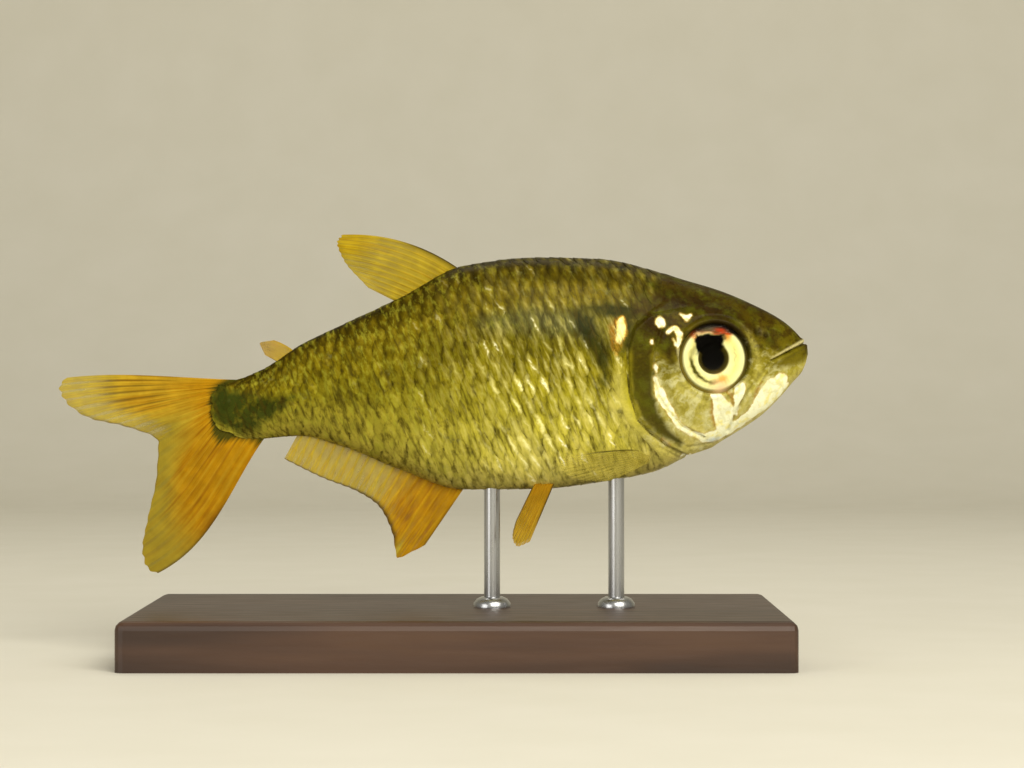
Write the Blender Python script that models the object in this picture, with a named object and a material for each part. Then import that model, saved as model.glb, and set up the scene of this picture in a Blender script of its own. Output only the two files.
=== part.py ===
"""Ectrepopterus uruguayensis, a small silvery olive characin, as a still display model.

The fish is life size: 55 mm from the snout to the root of the tail fin. It looks along +X,
its right side faces -Y, and it is carried by two rods on a flat base that stands on the floor.
Every size below is in millimetres, and MM turns it into metres.
"""

from collections import namedtuple
from math import cos, pi, radians, sin, sqrt

import bmesh
import bpy
from mathutils import Matrix, Vector

MM = 0.001
GAP = 0.3  # clear space between neighbouring sub-parts
BEYOND = 10.0  # how far cutters reach past the body

# Stand
BASE_LENGTH = 60.0
BASE_WIDTH = 34.0
BASE_HEIGHT = 4.5
BASE_EDGE = 0.8
ROD_RADIUS = 0.75
ROD_SIDES = 24
ROD_PLACES = {"stand_rod_front": 14.6, "stand_rod_back": 3.0}
BASE_SOCKET_DEPTH = 2.5
BELLY_SOCKET_DEPTH = 3.0

# Body: sections from the root of the tail fin to the tip of the snout
Section = namedtuple("Section", "place top bottom half_width widest")
BODY = (
    Section(-24.2, 25.2, 19.9, 0.50, 0.50),  # root of the tail fin
    Section(-21.6, 25.6, 19.7, 0.85, 0.50),  # end of the tail stalk
    Section(-18.7, 26.6, 20.1, 1.25, 0.50),  # thinnest part of the tail stalk
    Section(-14.9, 29.0, 20.4, 1.75, 0.50),  # adipose fin
    Section(-11.2, 30.8, 19.5, 2.25, 0.51),
    Section(-5.6, 33.4, 17.3, 3.05, 0.52),  # end of the dorsal fin
    Section(0.4, 36.4, 15.4, 3.75, 0.53),  # vent
    Section(7.5, 37.15, 15.45, 4.25, 0.54),  # pelvic fins
    Section(13.1, 37.0, 16.1, 4.45, 0.54),
    Section(18.2, 35.9, 17.1, 4.40, 0.54),  # nape
    Section(20.5, 35.15, 18.2, 4.25, 0.53),  # gill opening
    Section(24.3, 34.0, 20.0, 3.75, 0.52),  # eye
    Section(27.9, 32.45, 22.2, 2.95, 0.50),  # nostrils
    Section(29.9, 31.35, 24.1, 2.15, 0.50),
    Section(31.1, 30.4, 25.5, 1.50, 0.50),  # lips
    Section(31.9, 29.5, 26.4, 0.95, 0.50),
    Section(32.35, 28.8, 27.4, 0.45, 0.50),  # snout
)
SECTION_FULLNESS = 0.90  # 1 is an ellipse, less is fuller
RING_SIDES = 32
RING_SPACING = 1.5
TAIL_STALK_START = -13.5

# Head
NAPE_CUT = (18.6, 36.5)
THROAT_CUT = (20.6, 17.3)
MOUTH_CORNER = (28.7, 27.4)
MOUTH_FRONT = (32.4, 29.2)
JAW_JOINT = (25.9, 23.6)
JAW_HEEL = (25.4, 20.4)
LIP_RADIUS = 0.34
LIP_SINK = 0.1
LIP_BACK = 28.85
LIP_FRONT = 31.65
LIP_STEPS = 5
NOSTRILS = ((28.2, 29.9), (27.3, 30.4))
NOSTRIL_RADIUS = 0.42

# Gill covers: outline in side view, from the top of the opening, back and down to the throat
GILL_COVER = (
    (17.7, 31.4),
    (15.9, 29.9),
    (15.6, 27.2),
    (15.8, 24.4),
    (16.6, 21.9),
    (18.9, 20.0),
    (21.6, 18.9),
    (22.3, 20.2),
    (19.9, 22.1),
    (18.4, 24.6),
    (18.1, 27.6),
    (18.7, 30.4),
)
GILL_COVER_RISE = 0.15
GILL_COVER_DEPTH = 0.9
GILL_COVER_INNER = 0.5  # nearest to the middle plane

# Eyes
EYE_PLACE = (23.5, 27.65)
EYE_RADIUS = 3.25
EYE_HALF_DEPTH = 1.25
EYE_SINK = 0.55  # how deep the eyeball's widest ring lies under the cheek
EYE_TURN = 9.0  # degrees forwards
EYE_SIDES = 24

# Fins: in a margin, the first number is the share of the way from the first ray to the last.
# bow is how far the first and the last ray curve sideways, as a share of their length.
FIN_ROOT_THICKNESS = 0.8
FIN_MEMBRANE = 0.5
FIN_TIP_THICKNESS = 0.24
FIN_ROOT_SHARE = 0.25
FIN_TIP_SHARE = 0.25
FIN_ROWS = 6
PLAIN_COLUMNS = 6
RAY_RISE = 0.17  # above the membrane, on each face
RAY_TIP_RISE = 0.06
RAY_PLACE = 0.4
RAY_SHARE = 0.25  # half of a ray's width, as a share of the distance to the next ray
DORSAL = {
    "root": (0.2, -5.7),
    "rays": 10,
    "bow": (0.085, 0.0),
    "margin": (
        (0.00, -11.0, 39.3),
        (0.25, -11.5, 38.5),
        (0.55, -10.9, 36.9),
        (1.00, -8.6, 34.3),
    ),
}
ANAL = {
    "root": (0.6, -15.0),
    "rays": 18,
    "bow": (0.0, 0.0),
    "margin": (
        (0.00, -3.3, 10.2),
        (0.10, -5.8, 9.0),
        (0.21, -6.3, 11.3),
        (0.37, -7.5, 13.8),
        (0.53, -9.5, 15.2),
        (0.75, -12.8, 16.5),
        (1.00, -16.4, 18.3),
    ),
}
ADIPOSE = {
    "root": (-15.4, -16.9),
    "rays": 0,
    "bow": (0.05, 0.0),
    "margin": (
        (0.00, -17.4, 29.4),
        (0.50, -18.7, 29.1),
        (1.00, -18.2, 28.0),
    ),
}
TAIL_ROOT = (
    (0.00, -21.4, 26.0),
    (0.25, -22.9, 24.9),
    (0.50, -23.6, 22.9),
    (0.75, -22.5, 21.1),
    (1.00, -19.2, 19.6),
)
TAIL_UPPER = {
    "rays": 9,
    "bow": (0.02, 0.0),
    "margin": (
        (0.00, -36.9, 25.9),
        (0.12, -37.5, 25.0),
        (0.30, -36.9, 23.7),
        (0.50, -34.6, 22.1),
        (0.75, -31.2, 21.3),
        (1.00, -28.3, 20.1),
    ),
}
TAIL_LOWER = {
    "rays": 9,
    "bow": (0.0, -0.095),
    "margin": (
        (0.00, -28.0, 19.5),
        (0.20, -28.4, 16.6),
        (0.45, -29.2, 12.8),
        (0.70, -29.7, 9.9),
        (0.88, -29.3, 8.2),
        (1.00, -28.3, 7.5),
    ),
}
PECTORAL = {
    "rays": 8,
    "bow": (0.03, -0.02),
    "root": ((17.7, 19.2), (17.4, 18.0)),
    "margin": (
        (0.00, 9.2, 18.6),
        (0.35, 8.9, 17.6),
        (0.70, 10.6, 16.5),
        (1.00, 13.6, 16.3),
    ),
    "side": 2.3,
    "spread": 19.0,
}
PELVIC = {
    "rays": 6,
    "bow": (0.0, 0.0),
    "root": ((8.9, 16.3), (7.1, 16.3)),
    "margin": (
        (0.00, 6.5, 10.5),
        (0.35, 5.4, 10.1),
        (0.70, 4.9, 10.9),
        (1.00, 5.2, 12.3),
    ),
    "side": 1.15,
    "spread": 14.0,
}

MATERIALS = {
    "back_and_flank": ((0.30, 0.31, 0.10), 0.35, 0.35),
    "head_skin": ((0.26, 0.27, 0.12), 0.30, 0.35),
    "gill_cover": ((0.33, 0.33, 0.15), 0.28, 0.40),
    "eye": ((0.62, 0.55, 0.33), 0.10, 0.15),
    "red_fin": ((0.80, 0.33, 0.08), 0.35, 0.0),
    "yellow_fin": ((0.72, 0.62, 0.18), 0.35, 0.0),
    "clear_fin": ((0.52, 0.50, 0.30), 0.35, 0.0),
    "stand_base": ((0.045, 0.030, 0.022), 0.40, 0.0),
    "stand_rod": ((0.62, 0.62, 0.64), 0.25, 1.0),
}


def smooth_value(knots, values, at):
    """A cubic through the values, without overshoot where they turn."""
    last = len(knots) - 1
    steps = [(values[i + 1] - values[i]) / (knots[i + 1] - knots[i]) for i in range(last)]
    slopes = [steps[0]]
    for before, after in zip(steps, steps[1:]):
        turns = before * after <= 0
        slopes.append(0.0 if turns else 2.0 * before * after / (before + after))
    slopes.append(steps[-1])
    at = min(max(at, knots[0]), knots[-1])
    i = 0
    while i < last - 1 and at > knots[i + 1]:
        i += 1
    width = knots[i + 1] - knots[i]
    t = (at - knots[i]) / width
    rise = t * t * (3.0 - 2.0 * t)
    lean = t * (1.0 - t) * ((1.0 - t) * slopes[i] - t * slopes[i + 1]) * width
    return values[i] + rise * (values[i + 1] - values[i]) + lean


def body_section(place, grown=0.0):
    """The body's section at one place along the fish, grown outwards where asked."""
    knots = [section.place for section in BODY]
    sizes = [smooth_value(knots, column, place) for column in zip(*BODY)]
    return Section(place, sizes[1] + grown, sizes[2] - grown, sizes[3] + grown, sizes[4])


def body_side(place, height):
    """The half width of the body at one place and height."""
    section = body_section(place)
    widest = section.bottom + section.widest * (section.top - section.bottom)
    reach = section.top - widest if height > widest else widest - section.bottom
    share = min(abs(height - widest) / reach, 1.0)
    return section.half_width * sqrt(1.0 - share * share) ** SECTION_FULLNESS


def ring_places(start, end):
    """Places of the loft's rings: at each section, with others spread between them."""
    stops = [start] + [s.place for s in BODY if start < s.place < end] + [end]
    places = [start]
    for here, there in zip(stops, stops[1:]):
        count = max(1, round((there - here) / RING_SPACING))
        places += [here + (there - here) * i / count for i in range(1, count + 1)]
    return places


def mesh_object(name, bm):
    """A new object in the cutters' collection; finished sub-parts are moved out of it."""
    bmesh.ops.recalc_face_normals(bm, faces=bm.faces)
    mesh = bpy.data.meshes.new(name)
    bm.to_mesh(mesh)
    bm.free()
    made = bpy.data.objects.new(name, mesh)
    bpy.data.collections["cutters"].objects.link(made)
    made.hide_render = True
    made.display_type = "WIRE"
    return made


def body_loft(name, start=BODY[0].place, end=BODY[-1].place, grown=0.0):
    """A closed stretch of the body."""
    bm = bmesh.new()
    rings = []
    for place in ring_places(start, end):
        section = body_section(place, grown)
        widest = section.bottom + section.widest * (section.top - section.bottom)
        ring = []
        for i in range(RING_SIDES):
            angle = 2.0 * pi * i / RING_SIDES
            side = abs(cos(angle)) ** SECTION_FULLNESS
            y = section.half_width * (side if cos(angle) > 0 else -side)
            reach = section.top - widest if sin(angle) > 0 else widest - section.bottom
            z = widest + reach * sin(angle)
            ring.append(bm.verts.new((place * MM, y * MM, z * MM)))
        rings.append(ring)
    for here, there in zip(rings, rings[1:]):
        for i in range(RING_SIDES):
            j = (i + 1) % RING_SIDES
            bm.faces.new((here[i], here[j], there[j], there[i]))
    bm.faces.new(rings[0])
    bm.faces.new(rings[-1])
    return mesh_object(name, bm)


def side_prism(name, outline, near, far):
    """A block with its outline in side view, from one distance off the middle plane to another."""
    bm = bmesh.new()
    corners = [bm.verts.new((x * MM, near * MM, z * MM)) for x, z in outline]
    face = bm.faces.new(corners)
    pushed = bmesh.ops.extrude_face_region(bm, geom=[face])
    moved = [v for v in pushed["geom"] if isinstance(v, bmesh.types.BMVert)]
    bmesh.ops.translate(bm, verts=moved, vec=(0.0, (far - near) * MM, 0.0))
    return mesh_object(name, bm)


def grown_outline(outline, distance):
    """The closed outline with each point moved outwards."""
    count = len(outline)
    area = sum(
        outline[i][0] * outline[(i + 1) % count][1] - outline[(i + 1) % count][0] * outline[i][1]
        for i in range(count)
    )
    turn = 1.0 if area > 0 else -1.0
    grown = []
    for i, point in enumerate(outline):
        here = Vector(point)
        before = (here - Vector(outline[i - 1])).normalized()
        after = (Vector(outline[(i + 1) % count]) - here).normalized()
        outwards = (Vector((before.y, -before.x)) + Vector((after.y, -after.x))).normalized()
        share = max(outwards.dot(Vector((before.y, -before.x))), 0.4)
        grown.append(tuple(here + outwards * turn * distance / share))
    return grown


def smooth_outline(outline, parts=3):
    """A closed outline through the points, rounded by a Catmull-Rom curve."""
    count = len(outline)
    rounded = []
    for i in range(count):
        a, b, c, d = (Vector(outline[(i + k) % count]) for k in (-1, 0, 1, 2))
        for step in range(parts):
            t = step / parts
            point = 2 * b + (c - a) * t + (2 * a - 5 * b + 4 * c - d) * t * t
            point += (3 * b - a - 3 * c + d) * t**3
            rounded.append(tuple(point / 2))
    return rounded


def ball(name, centre, radii, sides, turn=0.0):
    """An ellipsoid, turned about the upright axis by some degrees."""
    bm = bmesh.new()
    bmesh.ops.create_uvsphere(bm, u_segments=sides, v_segments=sides // 2, radius=1.0)
    bmesh.ops.rotate(bm, verts=bm.verts, matrix=Matrix.Rotation(pi / 2, 3, "X"))
    bmesh.ops.scale(bm, verts=bm.verts, vec=[radius * MM for radius in radii])
    bmesh.ops.rotate(bm, verts=bm.verts, matrix=Matrix.Rotation(radians(turn), 3, "Z"))
    bmesh.ops.translate(bm, verts=bm.verts, vec=[c * MM for c in centre])
    return mesh_object(name, bm)


def rod(name, place, bottom, top, radius):
    """An upright round rod in the middle plane."""
    bm = bmesh.new()
    bmesh.ops.create_cone(
        bm,
        cap_ends=True,
        segments=ROD_SIDES,
        radius1=radius * MM,
        radius2=radius * MM,
        depth=(top - bottom) * MM,
    )
    bmesh.ops.translate(bm, verts=bm.verts, vec=(place * MM, 0.0, (top + bottom) / 2 * MM))
    return mesh_object(name, bm)


def combine(made, tool, operation, solver="EXACT"):
    """Applies one Boolean to the object and removes the tool."""
    change = made.modifiers.new("combine", "BOOLEAN")
    change.operation = operation
    change.solver = solver
    change.object = tool
    depsgraph = bpy.context.evaluated_depsgraph_get()
    mesh = bpy.data.meshes.new_from_object(made.evaluated_get(depsgraph))
    made.modifiers.clear()
    made.data = mesh
    bpy.data.objects.remove(tool)
    keep_largest(made)


def keep_largest(made):
    """Keeps only the largest closed surface of the object."""
    bm = bmesh.new()
    bm.from_mesh(made.data)
    bmesh.ops.remove_doubles(bm, verts=bm.verts, dist=0.002 * MM)
    left = set(bm.faces)
    islands = []
    while left:
        island = set()
        edge_of = [left.pop()]
        while edge_of:
            face = edge_of.pop()
            island.add(face)
            for edge in face.edges:
                for other in edge.link_faces:
                    if other in left:
                        left.remove(other)
                        edge_of.append(other)
        islands.append(island)
    largest = max(islands, key=lambda island: sum(face.calc_area() for face in island))
    dropped = [face for island in islands if island is not largest for face in island]
    bmesh.ops.delete(bm, geom=dropped, context="FACES")
    bmesh.ops.recalc_face_normals(bm, faces=bm.faces)
    bm.to_mesh(made.data)
    bm.free()


def copy_of(made, name):
    """A second object with its own mesh."""
    copied = bpy.data.objects.new(name, made.data.copy())
    bpy.data.collections["cutters"].objects.link(copied)
    return copied


def mirrored(made, name):
    """The same shape on the other side of the middle plane."""
    other = copy_of(made, name)
    bm = bmesh.new()
    bm.from_mesh(other.data)
    bmesh.ops.scale(bm, verts=bm.verts, vec=(1.0, -1.0, 1.0))
    bmesh.ops.reverse_faces(bm, faces=bm.faces)
    bm.to_mesh(other.data)
    bm.free()
    return other


def finish(made, material, smooth=True):
    """Gives a sub-part its material and moves it into the object's collection."""
    made.data.materials.clear()
    made.data.materials.append(bpy.data.materials[material])
    if smooth:
        made.data.shade_smooth()
    bpy.data.collections["cutters"].objects.unlink(made)
    bpy.data.collections["ectrepopterus_uruguayensis"].objects.link(made)
    made.hide_render = False
    made.display_type = "TEXTURED"


def make_materials():
    """One plain Principled material for each kind of surface."""
    for name, (colour, roughness, metallic) in MATERIALS.items():
        material = bpy.data.materials.new(name)
        material.use_nodes = True
        shader = material.node_tree.nodes["Principled BSDF"]
        shader.inputs["Base Color"].default_value = (*colour, 1.0)
        shader.inputs["Roughness"].default_value = roughness
        shader.inputs["Metallic"].default_value = metallic


def throat_prism(name, ahead):
    """A block ahead of or behind the slanting cut between the head and the trunk."""
    reach = 2 * BEYOND if ahead else -2 * BEYOND
    half_gap = GAP / 2 if ahead else -GAP / 2
    slope = (THROAT_CUT[0] - NAPE_CUT[0]) / (THROAT_CUT[1] - NAPE_CUT[1])
    top = (NAPE_CUT[0] - half_gap + slope * BEYOND, NAPE_CUT[1] + BEYOND)
    bottom = (THROAT_CUT[0] - half_gap - slope * BEYOND, THROAT_CUT[1] - BEYOND)
    outline = (top, bottom, (bottom[0] + reach, bottom[1]), (top[0] + reach, top[1]))
    return side_prism(name, outline, -BEYOND, BEYOND)


def mouth_height(place):
    """Height of the line of the mouth."""
    slope = (MOUTH_FRONT[1] - MOUTH_CORNER[1]) / (MOUTH_FRONT[0] - MOUTH_CORNER[0])
    return MOUTH_CORNER[1] + slope * (place - MOUTH_CORNER[0])


def jaw_outline():
    """The lower jaw in side view, run out past the snout and the chin."""
    front = MOUTH_CORNER[0] + BEYOND
    below = JAW_HEEL[1] - BEYOND
    return (
        (front, mouth_height(front)),
        MOUTH_CORNER,
        JAW_JOINT,
        JAW_HEEL,
        (JAW_HEEL[0], below),
        (front, below),
    )


def lip(name, shift):
    """A bead along the mouth from one corner round the snout to the other."""
    points = []
    for step in range(LIP_STEPS + 1):
        place = LIP_BACK + (LIP_FRONT - LIP_BACK) * step / LIP_STEPS
        height = mouth_height(place) + shift
        points.append((place, body_side(place, height) - LIP_SINK, height))
    front = (points[-1][0] + LIP_RADIUS, 0.0, points[-1][2])
    round_trip = points + [front] + [(x, -y, z) for x, y, z in reversed(points)]
    curve = bpy.data.curves.new(name, "CURVE")
    curve.dimensions = "3D"
    curve.bevel_depth = LIP_RADIUS * MM
    curve.bevel_resolution = 1
    curve.use_fill_caps = True
    spline = curve.splines.new("POLY")
    spline.points.add(len(round_trip) - 1)
    for point, (x, y, z) in zip(spline.points, round_trip):
        point.co = (x * MM, y * MM, z * MM, 1.0)
    drawn = bpy.data.objects.new(name, curve)
    bpy.data.collections["cutters"].objects.link(drawn)
    depsgraph = bpy.context.evaluated_depsgraph_get()
    bm = bmesh.new()
    bm.from_mesh(bpy.data.meshes.new_from_object(drawn.evaluated_get(depsgraph)))
    bmesh.ops.remove_doubles(bm, verts=bm.verts, dist=0.002 * MM)
    bpy.data.objects.remove(drawn)
    return mesh_object(name, bm)


def gill_recess(name, side):
    """The hollow under one gill cover, in the head and the trunk alike."""
    outline = smooth_outline(grown_outline(GILL_COVER, GAP))
    hollow = side_prism(name, outline, side * GILL_COVER_INNER, side * BEYOND)
    combine(hollow, body_loft("core", grown=-GILL_COVER_DEPTH - GAP), "DIFFERENCE")
    return hollow


def add_head_and_jaw():
    """Head and lower jaw, with lips, sockets, nostrils and room for the gill covers."""
    head = body_loft("head", start=15.0)
    jaw = body_loft("lower_jaw", start=22.0)
    combine(head, lip("upper_lip", LIP_RADIUS), "UNION")
    combine(jaw, lip("lower_lip", -LIP_RADIUS - GAP), "UNION")
    jaw_room = side_prism("jaw_room", grown_outline(jaw_outline(), GAP), -BEYOND, BEYOND)
    combine(head, jaw_room, "DIFFERENCE")
    combine(jaw, side_prism("jaw_shape", jaw_outline(), -BEYOND, BEYOND), "INTERSECT")
    combine(head, throat_prism("behind_head", False), "DIFFERENCE")
    for side in (-1, 1):
        combine(head, eyeball("socket", side, GAP), "DIFFERENCE")
        combine(head, gill_recess("recess", side), "DIFFERENCE")
        for place, height in NOSTRILS:
            centre = (place, side * body_side(place, height), height)
            pit = ball("nostril", centre, [NOSTRIL_RADIUS] * 3, 12)
            combine(head, pit, "DIFFERENCE")
    finish(head, "head_skin")
    finish(jaw, "head_skin")


def eyeball(name, side, grown=0.0):
    """One flattened eyeball, set in the cheek."""
    place, height = EYE_PLACE
    depth = body_side(place, height) - EYE_SINK
    radii = (EYE_RADIUS + grown, EYE_HALF_DEPTH + grown, EYE_RADIUS + grown)
    return ball(name, (place, side * depth, height), radii, EYE_SIDES, -side * EYE_TURN)


def add_eyes():
    """Both eyes."""
    for name, side in (("eye_right", -1), ("eye_left", 1)):
        finish(eyeball(name, side), "eye")


def add_gill_covers():
    """Both gill covers: thin shells that stand a little proud of the body."""
    cover = body_loft("gill_cover_left", start=12.0, grown=GILL_COVER_RISE)
    shape = side_prism("shape", smooth_outline(GILL_COVER), GILL_COVER_INNER + GAP, BEYOND)
    combine(cover, shape, "INTERSECT")
    combine(cover, body_loft("core", start=10.0, grown=-GILL_COVER_DEPTH), "DIFFERENCE")
    other = mirrored(cover, "gill_cover_right")
    finish(cover, "gill_cover")
    finish(other, "gill_cover")


def add_trunk_and_tail_stalk():
    """The trunk, with sockets for the rods, and the stalk of the tail."""
    trunk = body_loft("trunk", start=TAIL_STALK_START + GAP, end=23.0)
    combine(trunk, throat_prism("before_trunk", True), "DIFFERENCE")
    for side in (-1, 1):
        combine(trunk, gill_recess("recess", side), "DIFFERENCE")
    for place in ROD_PLACES.values():
        belly = body_section(place).bottom
        roof = belly + BELLY_SOCKET_DEPTH
        hole = rod("hole", place, belly - BEYOND, roof, ROD_RADIUS + GAP)
        combine(trunk, hole, "DIFFERENCE")
    stalk = body_loft("tail_stalk", end=TAIL_STALK_START)
    root = [(x, z) for _, x, z in TAIL_ROOT]
    edge = [(x + GAP, z) for x, z in smooth_root(root)]
    upper = edge[0][1] + BEYOND
    lower = edge[-1][1] - BEYOND
    back = edge[0][0] - BEYOND
    behind = edge + [(edge[-1][0], lower), (back, lower), (back, upper), (edge[0][0], upper)]
    combine(stalk, side_prism("behind_stalk", behind, -BEYOND, BEYOND), "DIFFERENCE")
    finish(trunk, "back_and_flank")
    finish(stalk, "back_and_flank")


def smooth_root(points):
    """The curved root of the tail fin, in small steps."""
    knots = [i / (len(points) - 1) for i in range(len(points))]
    steps = 16
    shares = [i / steps for i in range(steps + 1)]
    return [
        (
            smooth_value(knots, [x for x, _ in points], share),
            smooth_value(knots, [z for _, z in points], share),
        )
        for share in shares
    ]


def along(points, share):
    """The point of a fin's root or margin at one share, from its first ray to its last."""
    knots = [point[0] for point in points]
    x = smooth_value(knots, [point[1] for point in points], share)
    z = smooth_value(knots, [point[2] for point in points], share)
    return Vector((x, 0.0, z))


def on_back(share, first, last):
    """A place just above the back."""
    place = first + (last - first) * share
    return Vector((place, 0.0, body_section(place).top + GAP))


def on_belly(share, first, last):
    """A place just under the belly."""
    place = first + (last - first) * share
    return Vector((place, 0.0, body_section(place).bottom - GAP))


def fin_columns(rays):
    """Places across a fin, each with how much of a ray's rise it has: feet, crest, feet."""
    if rays == 0:
        return [(step / PLAIN_COLUMNS, 0.0) for step in range(PLAIN_COLUMNS + 1)]
    columns = [(0.0, 0.0)]
    for ray in range(rays):
        crest = (ray + RAY_PLACE) / rays
        foot = RAY_SHARE / rays
        columns += [(crest - foot, 0.0), (crest, 1.0), (crest + foot, 0.0)]
    return columns + [(1.0, 0.0)]


def fin_sheet(name, root, margin, rays, bow):
    """A fin from its root to its margin, thinner towards the tips, alike on both faces."""
    bm = bmesh.new()
    faces = {-1: [], 1: []}
    for share, rise in fin_columns(rays):
        start = root(share)
        end = margin(share)
        lean = bow[0] + (bow[1] - bow[0]) * share
        across = Vector((start.z - end.z, 0.0, end.x - start.x)) * lean
        for side, columns in faces.items():
            ray = []
            for row in range(FIN_ROWS + 1):
                out = row / FIN_ROWS
                middle = start.lerp(end, out) - across * (4.0 * out * (1.0 - out))
                half = fin_thickness(out) / 2 + rise * ray_rise(out)
                ray.append(bm.verts.new((middle + Vector((0.0, side * half, 0.0))) * MM))
            columns.append(ray)
    for columns in faces.values():
        for here, there in zip(columns, columns[1:]):
            for row in range(FIN_ROWS):
                bm.faces.new((here[row], there[row], there[row + 1]))
                bm.faces.new((here[row], there[row + 1], here[row + 1]))
    close_rim(bm, faces[-1], faces[1])
    return mesh_object(name, bm)


def fin_thickness(out):
    """Full thickness of the membrane at one share of the way from root to margin."""
    if out < FIN_ROOT_SHARE:
        near = out / FIN_ROOT_SHARE
        return FIN_ROOT_THICKNESS + (FIN_MEMBRANE - FIN_ROOT_THICKNESS) * near
    if out < 1.0 - FIN_TIP_SHARE:
        return FIN_MEMBRANE
    far = (out - 1.0 + FIN_TIP_SHARE) / FIN_TIP_SHARE
    return FIN_MEMBRANE + (FIN_TIP_THICKNESS - FIN_MEMBRANE) * far


def ray_rise(out):
    """Height of a ray over the membrane at one share of the way from root to margin."""
    return RAY_RISE + (RAY_TIP_RISE - RAY_RISE) * out


def close_rim(bm, near, far):
    """Joins the two faces of a fin all round."""
    near_rim = rim_of(near)
    far_rim = rim_of(far)
    count = len(near_rim)
    for i in range(count):
        j = (i + 1) % count
        bm.faces.new((near_rim[i], near_rim[j], far_rim[j]))
        bm.faces.new((near_rim[i], far_rim[j], far_rim[i]))


def rim_of(columns):
    """The vertices round a fin's face, in order."""
    root = [column[0] for column in columns]
    last = columns[-1][1:-1]
    margin = [column[-1] for column in reversed(columns)]
    first = list(reversed(columns[0][1:-1]))
    return root + last + margin + first


def add_middle_fins():
    """Dorsal, adipose and anal fin."""
    kinds = (
        ("dorsal_fin", DORSAL, on_back, "yellow_fin"),
        ("adipose_fin", ADIPOSE, on_back, "yellow_fin"),
        ("anal_fin", ANAL, on_belly, "red_fin"),
    )
    for name, sizes, edge, material in kinds:
        fin = fin_sheet(
            name,
            lambda share: edge(share, *sizes["root"]),
            lambda share: along(sizes["margin"], share),
            sizes["rays"],
            sizes["bow"],
        )
        finish(fin, material, smooth=False)


def tail_root(share, upper):
    """A place on one lobe's root, half a gap clear of the other lobe at the middle."""
    notch = Vector((TAIL_UPPER["margin"][-1][1], 0.0, TAIL_UPPER["margin"][-1][2]))
    inwards = (notch - along(TAIL_ROOT, 0.5)).normalized()
    half_gap = Vector((inwards.z, 0.0, -inwards.x)) * GAP / 2
    if upper:
        return along(TAIL_ROOT, share / 2) + half_gap * share
    return along(TAIL_ROOT, 0.5 + share / 2) - half_gap * (1.0 - share)


def add_tail_fin():
    """The two lobes of the tail fin."""
    lobes = (("caudal_fin_upper", TAIL_UPPER, True), ("caudal_fin_lower", TAIL_LOWER, False))
    for name, sizes, upper in lobes:
        lobe = fin_sheet(
            name,
            lambda share: tail_root(share, upper),
            lambda share: along(sizes["margin"], share),
            sizes["rays"],
            sizes["bow"],
        )
        finish(lobe, "red_fin", smooth=False)


def add_paired_fins():
    """Pectoral and pelvic fins, spread out from the body and cut free of it."""
    kinds = (("pectoral_fin", PECTORAL, "Z", "clear_fin"), ("pelvic_fin", PELVIC, "X", "red_fin"))
    for kind, sizes, axis, material in kinds:
        first, last = (Vector((x, 0.0, z)) for x, z in sizes["root"])
        fin = fin_sheet(
            kind + "_left",
            lambda share: first.lerp(last, share),
            lambda share: along(sizes["margin"], share),
            sizes["rays"],
            sizes["bow"],
        )
        angle = -sizes["spread"] if axis == "Z" else sizes["spread"]
        turn = Matrix.Rotation(radians(angle), 4, axis)
        place = Matrix.Translation((first + Vector((0.0, sizes["side"], 0.0))) * MM)
        fin.data.transform(place @ turn @ Matrix.Translation(-first * MM))
        combine(fin, body_loft("body", grown=GAP), "DIFFERENCE")
        other = mirrored(fin, kind + "_right")
        finish(fin, material, smooth=False)
        finish(other, material, smooth=False)


def add_stand():
    """A flat base with bevelled edges and two upright rods."""
    bm = bmesh.new()
    bmesh.ops.create_cube(bm, size=1.0)
    bmesh.ops.scale(bm, verts=bm.verts, vec=(BASE_LENGTH * MM, BASE_WIDTH * MM, BASE_HEIGHT * MM))
    bmesh.ops.translate(bm, verts=bm.verts, vec=(0.0, 0.0, BASE_HEIGHT / 2 * MM))
    raised = [e for e in bm.edges if max(v.co.z for v in e.verts) > 0.5 * BASE_HEIGHT * MM]
    bmesh.ops.bevel(
        bm, geom=raised, offset=BASE_EDGE * MM, segments=3, profile=0.5, affect="EDGES", material=-1
    )
    base = mesh_object("stand_base", bm)
    for name, place in ROD_PLACES.items():
        foot = BASE_HEIGHT - BASE_SOCKET_DEPTH
        hole = rod("hole", place, foot, BASE_HEIGHT + BEYOND, ROD_RADIUS + GAP)
        combine(base, hole, "DIFFERENCE")
        top = body_section(place).bottom + BELLY_SOCKET_DEPTH - GAP
        finish(rod(name, place, foot + GAP, top, ROD_RADIUS), "stand_rod")
    finish(base, "stand_base", smooth=False)


def main():
    """Builds the whole model."""
    for old in list(bpy.data.objects):
        bpy.data.objects.remove(old)
    for name in ("ectrepopterus_uruguayensis", "cutters"):
        bpy.context.scene.collection.children.link(bpy.data.collections.new(name))
    make_materials()
    add_trunk_and_tail_stalk()
    add_head_and_jaw()
    add_gill_covers()
    add_eyes()
    add_middle_fins()
    add_tail_fin()
    add_paired_fins()
    add_stand()


main()
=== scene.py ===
"""Ectrepopterus uruguayensis, a small olive characin, dressed as a still display model.

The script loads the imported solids, covers their flesh with one skin and a coat of scales, and gives
the eyes, fins and stand their finished forms. Sizes are in millimetres until a mesh is written.
"""

from functools import partial
from math import cos, pi, radians, sin, tan

import bmesh
import bpy
import numpy as np
from bpy.props import FloatProperty, FloatVectorProperty, IntProperty, PointerProperty
from mathutils import Euler, Matrix, Vector


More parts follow.
